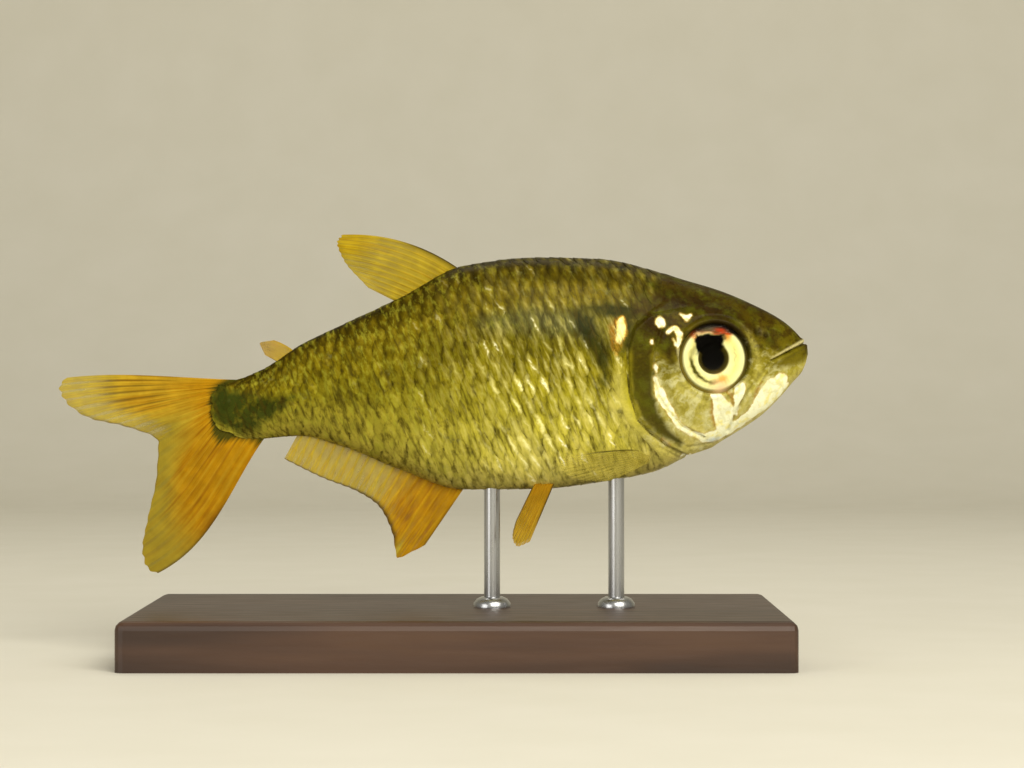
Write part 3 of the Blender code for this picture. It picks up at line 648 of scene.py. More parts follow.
# Colours from the belly to the back
REAR_STOPS = (
    (0.0, "#AA9A3C"), (0.16, "#9C902E"), (0.42, "#837813"), (0.62, "#736505"),
    (0.80, "#675803"), (0.93, "#443702"), (1.0, "#1E1700"),
)
FRONT_STOPS = (
    (0.0, "#CEC066"), (0.14, "#D2C64C"), (0.36, "#B0A52A"), (0.52, "#84790F"),
    (0.68, "#5E5608"), (0.84, "#5F5202"), (0.94, "#433701"), (1.0, "#1E1700"),
)
HEAD_STOPS = (
    (0.0, "#C8BA68"), (0.20, "#AEA23E"), (0.44, "#8A7F22"), (0.62, "#6C600A"),
    (0.80, "#4E4103"), (0.94, "#443601"), (1.0, "#2E2501"),
)
# Soft marks: name, strength, how far noise eats the edge, colour
SOFT_PATCHES = (
    ("blue", 0.55, 0.2, "#4A5034"),
    ("pale", 0.62, 0.45, "#CCC05E"),
    ("halo", 0.85, 0.40, "#D2CA86"),
    ("ash", 0.80, 0.35, "#C6BE86"),
    ("humeral", 0.88, 0.35, "#1C2006"),
    ("opercle", 0.90, 0.35, "#2E2602"),
    ("olive", 0.75, 0.3, "#5E5208"),
    ("umber", 0.93, 0.3, "#281A00"),
    ("amber", 0.80, 0.2, "#9A5810"),
    ("green", 0.90, 0.8, "#22300A"),
)
# Bright marks: name, how far noise eats the edge, fringe, duller middle, setting of the bright middle. The
# silver plates' near-white brightness is a painted reflection.
BRIGHT_MARKS = (
    ("gold", 0.3, "#D0962C", "#FCF088", "gold"),
    ("silver", 1.0, "#B8983A", "#FAF0A0", "silver"),
)


def skin_material(settings):
    """Wet fish skin, smooth and glossy: guanine under it makes the silver plates silvery, and their
    near-white shine is a painted reflection in the colour.
    """
    material, add, shader = new_material("wet_fish_skin")
    colour, at, place, fleck, silver = fish_colour(add, settings)
    stray = add("stray", place, 1 / (1.1 * MM), 2.0)
    rays = add("moved", stray, (0.35, 0.35, 0.35), add("vector", attribute_name="rays"))
    veins = add("noise", rays, 6.5, 3.0, 0.55)
    low = add("range", at["height"], 0.72, 0.40)
    low = add("SUBTRACT", low, at["opercle"], at["umber"], at["olive"], use_clamp=True)
    faint = add("MULTIPLY", add("range", veins, 0.47, 0.66, 0.0, 0.62), at["head"], low)
    colour = add("layer", faint, colour, "#DCD8A0")
    deep = add("range", veins, 0.44, 0.28, 0.0, 0.30)
    deep = add("MULTIPLY", deep, at["head"], add("SUBTRACT", 1.0, silver))
    colour = add("layer", deep, colour, "#3A3408")
    freckle = add("range", add("cells", place, 1 / (0.32 * MM)), 0.32, 0.12, 0.0, 0.45)
    freckle = add("MULTIPLY", freckle, add("range", at["height"], 0.35, 0.75))
    colour = add("layer", freckle, colour, "#1E1402")
    pores = add("noise", place, 1 / (0.28 * MM), 5.0)
    shape = {
        "Base Color": colour,
        "Roughness": add("MULTIPLY_ADD", fleck, 0.30, 0.26),
        "Normal": add("bump", add("MULTIPLY_ADD", veins, 0.8, pores), 0.5, 0.10 * MM),
        "Metallic": 0.08,
        "Specular IOR Level": 0.04,
        "Coat Weight": 0.03,
        "Coat Roughness": 0.08,
    }
    fill(shader, shape)
    return material


def scale_material(settings):
    """Thin horny scales over guanine: a painted pearly glint along a streak on each, and a soft dark hind
    margin that is partly pigment and partly painted shade where the scales overlap.
    """
    material, add, shader = new_material("pearly_scale")
    colour, at, place, fleck, _ = fish_colour(add, settings)
    tone = add("value", attribute_name="tone")
    bend = add("stray", place, 1 / (0.9 * MM), 2.0)
    cell = add("moved", bend, (0.9, 0.9, 0.0), add("vector", attribute_name="cell"))
    cell = add("moved", cell, (-0.45, -0.45, 0.0), operation="ADD")
    lean = radians(-STREAK_LEAN)
    unmoved = (0.0, 0.0, 0.0)
    # long steep streaks that run across several scales, their light parts painted sheen, and short flecks of
    # another hue
    long = add("laid", place, unmoved, (0.0, lean, 0.0), (0.42 * MM, 1.5 * MM, 2.3 * MM))
    short = add("laid", place, unmoved, (0.0, lean, 0.0), (0.45 * MM, 1.2 * MM, 0.95 * MM))
    grain = add("noise", long, 1.0, 3.0, 0.6)
    hue = add("noise", short, 1.0, 3.0, 0.65)
    # forms on each scale: spot, streak that carries its painted glint, the middle inside the hind margin, and
    # the tube of a pored scale
    spot = add("blob", add("laid", cell, (0.78, 0.0, 0.0), unmoved, (0.52, 1.3, 1.0)))
    streak = add("blob", add("laid", cell, (0.80, 0.0, 0.0), (0.0, 0.0, lean), (0.30, 1.75, 1.0)))
    middle = add("cone", add("laid", cell, (0.86, 0.0, 0.0), unmoved, (0.62, 1.9, 1.0)))
    tube = add("blob", add("laid", cell, (0.6, 0.0, 0.0), unmoved, (0.7, 0.22, 1.0)))
    # where the coat stays calm, and where painted sheen and glints show, by how far the flank faces the light
    # and towards the tail
    calm = add("SUBTRACT", 1.0, add("MAXIMUM", add("MAXIMUM", at["green"], at["humeral"]), at["umber"]))
    flat = add("range", at["height"], 0.86, 0.60, 0.25, 1.0)
    flank = add("range", at["height"], 0.92, 0.55, 0.12, 1.0)
    rear = add("range", at["front"], 0.0, 1.0, 1.0, 0.25)
    dim = add("range", at["front"], 0.0, 0.7, 0.38, 1.0)
    # painted sheen on the light parts of the long streaks, less towards the back
    light = add("MULTIPLY", add("range", grain, 0.50, 0.68, 0.0, 0.75), flat, at["front"], calm)
    deep = add("range", grain, 0.47, 0.34, 0.0, 0.65)
    wild = add("MULTIPLY_ADD", fleck, 2.2, -0.1)
    # painted glint along each scale's streak, brightest in the painted glint zone of the front flank
    shine = add("MULTIPLY_ADD", at["shine"], 2.3, 0.40)
    painted_streak_glint = add("MULTIPLY_ADD", add("POWER", tone, 1.6), 1.0, 0.18)
    painted_streak_glint = add("MULTIPLY", painted_streak_glint, shine, streak, wild, use_clamp=True)
    painted_streak_glint = add("MULTIPLY", painted_streak_glint, flank, calm, dim)
    glow = add("MULTIPLY", spot, add("range", at["height"], 0.62, 0.80, 0.08, 0.42), calm)
    # dark margin round each scale's bare middle: partly pigment, partly painted shade where the scales
    # overlap
    patchy_margin = add("MULTIPLY_ADD", fleck, 2.0, 0.0)
    uneven = add("range", hue, 0.62, 0.38, 0.25, 1.6)
    shade = add("MULTIPLY", add("range", middle, 0.0, 0.5, 0.40, 0.0), patchy_margin, uneven, use_clamp=True)
    mossy = add("MULTIPLY", add("range", hue, 0.50, 0.64, 0.0, 0.62), rear, calm)
    rusty = add("MULTIPLY", add("range", hue, 0.46, 0.34, 0.0, 0.62), rear)
    light_tint = add("layer", at["height"], "#F0E274", "#8C8448")
    covers = (
        (glow, "#A08C14"),
        (mossy, "#98942A"),
        (rusty, "#453806"),
        (light, light_tint),
        (deep, "#43390A"),
        (shade, "#2E2603"),
    )
    for cover, tint in covers:
        colour = add("layer", cover, colour, tint)
    colour = add("tint", 1.0, colour, add("MULTIPLY_ADD", tone, 0.30, 0.85))
    colour = add("layer", painted_streak_glint, colour, add("layer", at["front"], "#CFC65E", "#FBF3A0"))
    # a painted glint of bare guanine on one scale in ten
    chosen = add("range", tone, 0.86, 0.94)
    broken = add("range", fleck, 0.42, 0.56)
    glint = add("MULTIPLY", add("range", streak, 0.30, 0.60), chosen, at["front"], calm, flank, broken)
    colour = add("layer", glint, colour, "#FFFCD0")
    tube = add("MULTIPLY", tube, add("value", attribute_name="pored"))
    shape = {
        "Base Color": colour,
        "Roughness": add("MULTIPLY_ADD", tone, 0.16, 0.30),
        "Normal": add("bump", add("MULTIPLY_ADD", fleck, 0.5, tube), 0.5, 0.04 * MM),
        "Metallic": 0.2,
        "Specular IOR Level": 0.04,
        "Coat Weight": 0.02,
        "Coat Roughness": 0.10,
    }
    fill(shader, shape)
    return material


def fin_material(name, full, faint, edge):
    """A wet fin: coloured soft rays in a thin membrane that light passes through."""
    material, add, shader = new_material(name)
    words = ("out", "share", "ray", "warm", "dusk", "stain", "cover")
    at = {word: add("value", attribute_name=word) for word in words}
    drawn = add("spread", add("sheet", at["share"], at["out"], 0.0), (46.0, 2.4, 1.0))
    streak = add("noise", drawn, 1.0, 3.0)
    blotch = add("noise", add("place"), 1 / (1.4 * MM), 3.0)
    warm = eaten(add, at["warm"], streak, 0.7, use_clamp=True)
    colour = add("layer", warm, faint, full)
    colour = add("layer", add("MULTIPLY", at["ray"], 0.20), colour, "#C8A42C")
    deep = add("MULTIPLY", add("range", streak, 0.48, 0.70, 0.0, 0.55), at["warm"])
    colour = add("layer", deep, colour, "#7E4602")
    colour = add("tint", 1.0, colour, add("range", blotch, 0.40, 0.64, 0.90, 1.08))
    colour = add("layer", at["dusk"], colour, edge)
    ragged = eaten(add, at["stain"], streak, 1.4)
    colour = add("layer", add("range", ragged, 0.25, 0.75, 0.0, 0.9), colour, "#2A3608")
    solid = eaten(add, add("MULTIPLY_ADD", at["ray"], 0.30, at["cover"]), blotch, 0.2)
    joints = add("SINE", add("MULTIPLY", at["out"], 150.0))
    shape = {
        "Base Color": colour,
        "Alpha": add("MAXIMUM", solid, at["dusk"], use_clamp=True),
        "Normal": add("bump", add("MULTIPLY", joints, at["ray"]), 0.2, 0.02 * MM),
        "Roughness": 0.50,
        "Specular IOR Level": 0.06,
    }
    fill(shader, shape)
    return material


def iris_material(settings):
    """Iris: a film of guanine like pearl, red above and dusky below, round a black pupil."""
    material, add, shader = new_material("pearly_iris")
    stops = ((0.0, "#8A7A28"), (0.1, "#FFFDB4"), (0.5, "#FFF596"), (0.88, "#FFFEB8"), (1.0, "#8A7A30"))
    pearl = add("ramp", add("value", attribute_name="reach"), stops=stops)
    streak = add("value", attribute_name="streak")
    colour = add("tint", 0.12, pearl, streak)
    tints = (
        ("dusky", "#4E4A12"),
        ("rose", "#F4CC9C"),
        ("amber", "#E09A34"),
        ("roof", "#221000"),
        ("red", settings.eye_red),
        ("black", "#040301"),
    )
    for name, tint in tints:
        colour = add("layer", add("value", attribute_name=name), colour, tint)
    shape = {
        "Base Color": colour,
        "Normal": add("bump", streak, 0.3, 0.04 * MM),
        "Metallic": 0.1,
        "Roughness": 0.5,
        "Specular IOR Level": 0.03,
    }
    fill(shader, shape)
    return material


def cornea_material():
    """Cornea: a clear, wet, thin dome that only shows by its highlights."""
    material, add, shader = new_material("clear_cornea")
    film = add("noise", add("place"), 1 / (0.8 * MM), 2.0)
    shape = {
        "Base Color": (0.0, 0.0, 0.0, 1.0),
        "Roughness": 0.04,
        "Specular IOR Level": 1.0,
        "Alpha": 0.022,
        "Normal": add("bump", film, 0.15, 0.03 * MM),
    }
    fill(shader, shape)
    return material


def walnut_material(settings):
    """Oiled walnut: dark straight grain, planed and rubbed, with a low sheen."""
    material, add, shader = new_material("oiled_walnut")
    along = add("spread", add("place"), (0.10, 1.0, 1.0))
    figure = add("noise", along, 1 / (3.5 * MM), 5.0)
    bands = add("bands", along, 1 / (8.0 * MM), 6.0, 3.0, 1.5, bands_direction="Y")
    both = add("MULTIPLY_ADD", bands, 0.55, add("MULTIPLY", figure, 0.45))
    stops = ((0.1, "#24160D"), (0.45, "#3C271A"), (0.75, "#4E3525"), (1.0, "#62462F"))
    pores = add("noise", along, 1 / (0.45 * MM), 2.0)
    shape = {
        "Base Color": add("layer", 0.25, add("ramp", both, stops=stops), settings.stain),
        "Normal": add("bump", pores, 0.35, 0.04 * MM),
        "Roughness": add("MULTIPLY_ADD", pores, 0.25, 0.32),
    }
    fill(shader, shape)
    return material


def steel_material():
    """Drawn stainless wire: fine lines along its length."""
    material, add, shader = new_material("drawn_stainless")
    lines = add("noise", add("spread", add("place"), (1.0, 1.0, 0.04)), 1 / (0.12 * MM), 2.0)
    shape = {
        "Base Color": "#B9BABC",
        "Normal": add("bump", lines, 0.15, 0.01 * MM),
        "Roughness": add("MULTIPLY_ADD", lines, 0.18, 0.20),
        "Metallic": 1.0,
    }
    fill(shader, shape)
    return material


COAT_DEPTH = 0.12


def flatten_by_eyes(points):
    """Brings the skin round each eye to the plane of the eye's rim."""
    radius, _ = round_eye(points[:, 0], points[:, 2])
    depth = float(body_side(*EYE_PLACE)) - 0.05
    plane = depth - tan(radians(EYE_TURN)) * (points[:, 0] - EYE_PLACE[0])
    share = 0.92 * (1.0 - soft_step(3.2, 5.4, radius))
    side = np.sign(points[:, 1])
    points[:, 1] += share * (side * plane - points[:, 1]) * (np.abs(points[:, 1]) > 0.6)


def make_skin(settings):
    """The skin of the whole fish: one sphere drawn out along the body, then raised and sunk."""
    bm = bmesh.new()
    bmesh.ops.create_uvsphere(
        bm, u_segments=settings.skin_sides, v_segments=settings.skin_rings, radius=1.0
    )
    mesh = mesh_from("skin", bm)
    ball = vertex_array(mesh)
    share = np.arccos(np.clip(ball[:, 2], -1.0, 1.0)) / pi
    knots = [knot for knot, _ in SKIN_RINGS]
    place = np.interp(share, knots, [where for _, where in SKIN_RINGS])
    angle = np.arctan2(ball[:, 1], ball[:, 0])
    points = body_point(place, angle)
    points[share < 1e-4] = SNOUT_TIP
    points[share > 1.0 - 1e-4, 1] = 0.0
    flatten_by_eyes(points)
    put_vertices(mesh, points)
    normals = np.empty(len(mesh.vertices) * 3, np.float32)
    mesh.vertices.foreach_get("normal", normals)
    raised = relief(points[:, 0], points[:, 2])
    put_vertices(mesh, points + normals.reshape(-1, 3) * raised[:, None])
    write_marks(mesh, points)
    radius, sweep = round_eye(points[:, 0], points[:, 2])
    write_values(mesh, "rays", np.stack((np.cos(sweep), np.sin(sweep), 0.06 * radius), axis=-1))
    flesh = ("trunk", "tail_stalk", "head", "lower_jaw", "gill_cover_left", "gill_cover_right")
    piece_from("skin", mesh, skin_material(settings), flesh)


def draw_out(bm, extruded, shift):
    """Moves what was extruded from a sheet or a line."""
    moved = [v for v in extruded["geom"] if isinstance(v, bmesh.types.BMVert)]
    bmesh.ops.translate(bm, verts=moved, vec=shift)


def scale_shape():
    """One scale: a rounded plate, thin and closed, as vertices and faces. x runs to its hind edge."""
    bm = bmesh.new()
    bmesh.ops.create_grid(bm, x_segments=5, y_segments=5, size=1.0)
    draw_out(bm, bmesh.ops.extrude_face_region(bm, geom=bm.faces[:]), (0.0, 0.0, -1.0))
    low_faces = [f for f in bm.faces if all(v.co.z < -0.5 for v in f.verts)]
    bmesh.ops.dissolve_faces(bm, faces=low_faces)
    bmesh.ops.recalc_face_normals(bm, faces=bm.faces)
    bm.verts.index_update()
    shape = np.array([v.co[:] for v in bm.verts])
    faces = [[v.index for v in f.verts] for f in bm.faces]
    bm.free()
    across, up = shape[:, 0].copy(), shape[:, 1].copy()
    shape[:, 0] = across * np.sqrt(1.0 - up * up / 2.0)
    shape[:, 1] = up * np.sqrt(1.0 - across * across / 2.0)
    return shape, faces


def girth_tables():
    """For each place along the body, the angle at each distance round it from the widest line."""
    places = np.linspace(TAIL_END, COAT_FRONT, 260)
    angles = np.radians(np.linspace(-180.0, 180.0, 361))
    back, middle, belly = 270, 180, 90
    rounds = np.arange(-26.0, 26.01, 0.1)
    table = np.empty((len(places), len(rounds)))
    edges = np.empty((2, len(places)))
    for i, place in enumerate(places):
        points = body_point(np.full(len(angles), place), angles)
        lengths = np.r_[0.0, np.cumsum(np.linalg.norm(np.diff(points, axis=0), axis=1))]
        lengths -= lengths[middle]
        table[i] = np.interp(rounds, lengths, angles)
        edges[:, i] = lengths[back], lengths[belly]
    return places, rounds, table, *edges


def look_up(tables, place, distance):
    """The angle at each place and distance round the body."""
    places, rounds, table, _, _ = tables
    i = np.clip((place - places[0]) / (places[1] - places[0]), 0, len(places) - 1.001)
    j = np.clip((distance - rounds[0]) / (rounds[1] - rounds[0]), 0, len(rounds) - 1.001)
    i0, j0 = i.astype(int), j.astype(int)
    fi, fj = i - i0, j - j0
    near = table[i0, j0] * (1 - fj) + table[i0, j0 + 1] * fj
    far = table[i0 + 1, j0] * (1 - fj) + table[i0 + 1, j0 + 1] * fj
    return near * (1 - fi) + far * fi


def depth_share(place):
    """Depth of the body at a place, as a share of its greatest."""
    top, bottom, _ = sizes_at(place)
    return (top - bottom) / BODY_DEPTH


def scale_size(settings, place):
    """Bare length and height of a row at a place: both shrink with the body's depth."""
    deep = depth_share(place)
    return settings.scale_length * deep**0.3, settings.scale_height * deep**0.58


def scale_places(tables, settings):
    """Roots of the scales of one side: place, distance round the body, row height and row."""
    places, _, _, to_back, to_belly = tables
    roots = []
    for row in range(-SCALE_ROWS, SCALE_ROWS + 1):
        place = COAT_FRONT + (0.5 if row % 2 else 0.0) * settings.scale_length
        while place > TAIL_END + 0.2:
            bare, tall = scale_size(settings, place)
            distance = row * tall
            leaning = place - SCALE_LEAN * distance
            back = np.interp(leaning, places, to_back)
            belly = np.interp(leaning, places, to_belly)
            if belly + 0.3 * tall < distance < back - 0.3 * tall and leaning > TAIL_END + 0.9:
                roots.append((leaning, distance, tall, row))
            place -= bare
    return np.array(roots)


def ridge_places(tables, settings):
    """Roots of the scales along the middle of the back and of the belly."""
    places, _, _, to_back, to_belly = tables
    roots = []
    for edge, row in ((to_back, RIDGE_ROW), (to_belly, -RIDGE_ROW)):
        place = COAT_FRONT - 1.5
        while place > TAIL_END + 0.9:
            bare, tall = scale_size(settings, place)
            roots.append((place, float(np.interp(place, places, edge)), tall, row))
            place -= bare
    return np.array(roots)


COAT_FRONT = 22.0
BODY_DEPTH = 21.7
# Rows from the widest line to the back, and the number of the ridges' own row
SCALE_ROWS = 10
RIDGE_ROW = 20
SCALE_LEAN = 0.22
STREAK_LEAN = 20.0
# Half a scale, in bare lengths and in rows
SCALE_HALF = (1.30, 0.98)
PORED_ROW = -1
# Half a scale in the coordinates of its own streaks: along, up
CELL_SIZE = (1.5, 1.9, 0.0)
SEED = 7


def make_scales(settings):
    """The coat: overlapping scales, laid from the tail fin to the head like tiles on a roof."""
    tables = girth_tables()
    shape, faces = scale_shape()
    material = scale_material(settings)
    chance = np.random.default_rng(SEED)
    for name, side, roots in (
        ("scales_left", 1.0, scale_places(tables, settings)),
        ("scales_right", -1.0, scale_places(tables, settings)),
        ("scales_ridges", 1.0, ridge_places(tables, settings)),
    ):
        height = body_point(roots[:, 0], look_up(tables, roots[:, 0], roots[:, 1]))[:, 2]
        front = smooth_value(COAT_EDGE[:, 0], COAT_EDGE[:, 1], height)
        roots = roots[roots[:, 0] < front + 0.6]
        mesh = scale_mesh(name, side, roots, shape, faces, tables, settings, chance)
        piece_from(name, mesh, material)


def scale_mesh(name, side, roots, shape, faces, tables, settings, chance):
    """All the scales of one piece, joined."""
    count = len(roots)
    size = len(shape)
    place, distance, tall, row = (roots[:, i : i + 1] for i in range(4))
    jitter = chance.normal(0.0, 1.0, (count, 5))
    bare, _ = scale_size(settings, place)
    long = bare * SCALE_HALF[0] * (1.0 + 0.05 * jitter[:, :1])
    high = SCALE_HALF[1] * tall * (1.0 + 0.04 * jitter[:, 4:])
    run, up, level = shape[:, 0][None], shape[:, 1][None], shape[:, 2][None]
    turn = 0.15 + 0.05 * jitter[:, 1:2]
    at = np.maximum(place - long * run - turn * high * up, TAIL_END + 0.02)
    _, tall_there = scale_size(settings, at)
    around = distance * tall_there / tall + high * up - 0.5 * turn * long * run
    angle = look_up(tables, at, around)
    points = body_point(at, angle)
    normals = body_normal(at, angle)
    ridge = np.abs(row) == RIDGE_ROW
    steep = settings.scale_lift * np.where(ridge, 0.5, 1.0) * (0.45 + 0.55 * depth_share(place))
    lift = steep * (0.62 * run + 0.30 - 0.35 * up * up) + np.where(ridge, 0.02, 0.0)
    lift = lift + 0.010 * jitter[:, 2:3] * run + 0.010 * jitter[:, 3:4] * up
    lift = lift - COAT_DEPTH + 0.03 + level * settings.scale_thickness
    points = points + normals * lift[..., None]
    points[..., 1] *= side
    flat = points.reshape(-1, 3)
    order = faces if side > 0 else [list(reversed(f)) for f in faces]
    joined = [[start + i for i in face] for start in range(0, len(flat), size) for face in order]
    mesh = bpy.data.meshes.new(name)
    mesh.from_pydata(flat * MM, (), joined)
    mesh.validate()
    write_marks(mesh, flat)
    write_values(mesh, "cell", np.tile(shape * CELL_SIZE, (count, 1)))
    write_values(mesh, "tone", np.repeat(chance.uniform(0.0, 1.0, count), size))
    write_values(mesh, "pored", np.repeat(row[:, 0] == PORED_ROW, size))
    u = (place - TAIL_END) / MAP_LENGTH + PATCH * 0.5 * run
    v = 0.5 + side * (0.24 + distance / MAP_GIRTH) + PATCH * 0.5 * up
    write_patches(mesh, u.ravel(), v.ravel())
    return mesh


# The unrolled skin on the bake's map, in millimetres to its whole width and height, and a scale's patch on it
MAP_LENGTH = 60.0
MAP_GIRTH = 62.0
PATCH = 0.003


def write_patches(mesh, u, v):
    """The bake's map: each scale is a small patch at its root's place on the unrolled skin."""
    layer = mesh.uv_layers.new(name="OFBake")
    corners = np.empty(len(mesh.loops), np.int32)
    mesh.loops.foreach_get("vertex_index", corners)
    pairs = np.stack((u[corners], v[corners]), axis=-1).astype(np.float32)
    layer.data.foreach_set("uv", pairs.ravel())


def margin_point(points, share):
    """A fin's root or margin at each share, from its first ray to its last."""
    points = np.asarray(points, float)
    x = smooth_value(points[:, 0], points[:, 1], share)
    z = smooth_value(points[:, 0], points[:, 2], share)
    return np.stack((x, np.zeros_like(x), z), axis=-1)


def fin_root(sizes, share):
    """A fin's root: just inside the back or the belly, or along its own points."""
    if "sink" not in sizes:
        return margin_point(sizes["root"], share)
    first, last = sizes["root"]
    place = first + (last - first) * share
    top, bottom, _ = sizes_at(place)
    height = (top if sizes["sink"] > 0 else bottom) - sizes["sink"]
    return np.stack((place, np.zeros_like(place), height), axis=-1)


def ray_profile(share, out, rays):
    """Height of the soft rays across a fin: each one forks, and forks again."""
    local = share * rays - 0.4
    nearest = np.clip(np.round(local), 0, rays - 1)
    q = local - nearest
    first = 0.17 * soft_step(0.42, 0.72, out)
    second = 0.075 * soft_step(0.74, 0.95, out)
    width = 0.14 - 0.075 * out
    height = np.zeros_like(q)
    for a in (-1, 1):
        for b in (-1, 1):
            middle = a * first + b * second
            height = np.maximum(height, np.exp(-(((q - middle) / width) ** 2)))
    return height


def fin_mesh(name, sizes):
    """A fin: a fine sheet with raised rays, thin and slightly waved towards its margin."""
    bm = bmesh.new()
    rays = sizes["rays"]
    columns = max(rays * sizes.get("columns", 9), 24)
    bmesh.ops.create_grid(bm, x_segments=columns, y_segments=sizes.get("rows", 56), size=1.0)
    draw_out(bm, bmesh.ops.extrude_face_region(bm, geom=bm.faces[:]), (0.0, 0.0, 1.0))
    bmesh.ops.recalc_face_normals(bm, faces=bm.faces)
    mesh = mesh_from(name, bm)
    grid = vertex_array(mesh)
    share = (grid[:, 0] + 1.0) / 2.0
    out = (grid[:, 1] + 1.0) / 2.0
    side = np.where(grid[:, 2] > 0.5, 1.0, -1.0)
    start = fin_root(sizes, share)
    end = margin_point(sizes["margin"], share)
    local = share * max(rays, 1) - 0.4
    scallop = 1.0 - 0.006 * (1.0 - np.cos(2 * pi * local)) * soft_step(0.5, 1.0, out) * (rays > 0)
    points = start + (end - start) * (out * scallop)[:, None]
    across = np.stack((start[:, 2] - end[:, 2], np.zeros(len(share)), end[:, 0] - start[:, 0]), axis=-1)
    lean = np.interp(share, *zip(*sizes["bow"]))
    late = out ** sizes.get("skew", 1.0)
    points -= across * (lean * 4.0 * late * (1.0 - late))[:, None]
    ray = ray_profile(share, out, rays) if rays else np.zeros_like(share)
    first_ray = np.exp(-((share * max(rays, 6)) ** 2) * 6.0)
    ray = np.maximum(ray, first_ray * (1.0 - 0.5 * out))
    thick = sizes.get("thickness", 1.0)
    half = 0.5 * thick * (0.30 - 0.23 * soft_step(0.0, 0.75, out))
    half = half + thick * ray * (0.055 - 0.036 * out)
    border = np.minimum(np.minimum(share, 1.0 - share) * 30.0, (1.0 - out) * 20.0)
    half = half * (0.35 + 0.65 * np.clip(border, 0.0, 1.0))
    middle = sizes["wave"] * out**1.6 * np.sin(2 * pi * (1.35 * share + 0.25 * out) + 0.6)
    points[:, 1] += middle + side * half
    put_vertices(mesh, points)
    turned = bmesh.new()
    turned.from_mesh(mesh)
    if turned.calc_volume(signed=True) < 0:
        mesh.flip_normals()
    turned.free()
    for layer, values in (("out", out), ("ray", ray), ("share", share)):
        write_values(mesh, layer, values)
    return mesh, share, out


def colour_fin(mesh, warm, dusk, cover, stain=0.0):
    """Stores how strongly a fin is coloured, how dark its margin and its root are and how solid it is."""
    for name, values in (("warm", warm), ("dusk", dusk), ("cover", cover), ("stain", stain + 0.0 * warm)):
        write_values(mesh, name, np.clip(values, 0.0, 1.0))


def make_middle_fins(settings):
    """Dorsal, adipose and anal fin."""
    yellow = fin_material("yellow_fin_membrane", settings.fin_yellow, "#A89834", "#2E2604")
    orange = fin_material("orange_fin_membrane", settings.fin_orange, "#B4A02E", "#3E2C08")
    mesh, share, out = fin_mesh("dorsal_fin", DORSAL)
    lead = bump_at(share, 0.045) * (1.0 - soft_step(0.35, 0.6, out))
    tip = soft_step(0.6, 0.9, out) * (1.0 - soft_step(0.3, 0.6, share))
    colour_fin(mesh, 0.75 - 0.45 * out + 0.7 * tip, 0.97 * lead, 0.90 - 0.26 * out + 0.16 * tip)
    piece_from("dorsal_fin_render", mesh, yellow, ("dorsal_fin",))
    mesh, share, out = fin_mesh("adipose_fin", ADIPOSE)
    colour_fin(mesh, 0.35 + 0.2 * out, 0.0 * out, 0.75 - 0.15 * out)
    piece_from("adipose_fin_render", mesh, orange, ("adipose_fin",))
    mesh, share, out = fin_mesh("anal_fin", ANAL)
    front = 1.0 - soft_step(0.22, 0.50, share)
    rim = bump_at(out - 1.0, 0.07 - 0.04 * soft_step(0.4, 0.7, share)) * soft_step(0.1, 0.2, share)
    lead = bump_at(share, 0.012) * soft_step(0.1, 0.4, out)
    pale = bump_at(share - 0.14, 0.022) * bump_at(out - 0.97, 0.12)
    warm = (0.16 + 0.84 * front) * (1.0 - pale)
    dusk = np.maximum(0.9 * rim, 0.6 * lead) * (1.0 - pale)
    colour_fin(mesh, warm, dusk, 0.66 + 0.24 * front - 0.10 * out)
    piece_from("anal_fin_render", mesh, orange, ("anal_fin",))


def make_tail_fin(settings):
    """The tail fin: one forked sheet for both lobes."""
    orange = bpy.data.materials["orange_fin_membrane"]
    mesh, share, out = fin_mesh("tail_fin", TAIL)
    upper = 1.0 - soft_step(0.46, 0.5, share)
    inner = soft_step(0.30, 0.46, share) * (1.0 - soft_step(0.50, 0.68, share)) * soft_step(0.15, 0.75, out)
    tip = soft_step(0.55, 0.90, out)
    rim = bump_at(out - 1.0, 0.03) * soft_step(0.12, 0.3, share) * (1.0 - soft_step(0.6, 0.8, share))
    lead = bump_at(share, 0.010) * (1.0 - soft_step(0.5, 0.7, out)) * soft_step(0.25, 0.4, out)
    low_lead = bump_at(share - 1.0, 0.012) * soft_step(0.3, 0.55, out)
    low_lobe = (0.12 + 0.30 * tip) * (1.0 - upper) * soft_step(0.1, 0.3, out)
    # dark lines between the rays of the upper lobe
    lines = np.clip(np.cos(2 * pi * (20 * share - 0.9)), 0.0, 1.0) ** 2 * soft_step(0.26, 0.5, out)
    lines = lines * (1.0 - soft_step(0.70, 0.84, out)) * soft_step(0.02, 0.04, share)
    lines = lines * (1.0 - soft_step(0.26, 0.36, share))
    dusk = np.max((0.36 * inner, 0.65 * rim, 0.5 * lead, 0.8 * low_lead, low_lobe, 0.60 * lines), axis=0)
    warm = (1.0 - 0.9 * tip) * (1.0 - 0.75 * inner) * (1.0 - 0.32 * upper * soft_step(0.12, 0.4, out))
    scaled = 0.05 * bump_at(share - 0.72, 0.10) - 0.05 * soft_step(0.75, 0.9, share)
    base = 1.0 - soft_step(0.0, 0.18, out - scaled)
    solid = 1.0 - (0.50 * upper + 0.14 * (1.0 - upper)) * tip
    colour_fin(mesh, warm, dusk, solid, base)
    piece_from("tail_fin_render", mesh, orange, ("caudal_fin_upper", "caudal_fin_lower"))


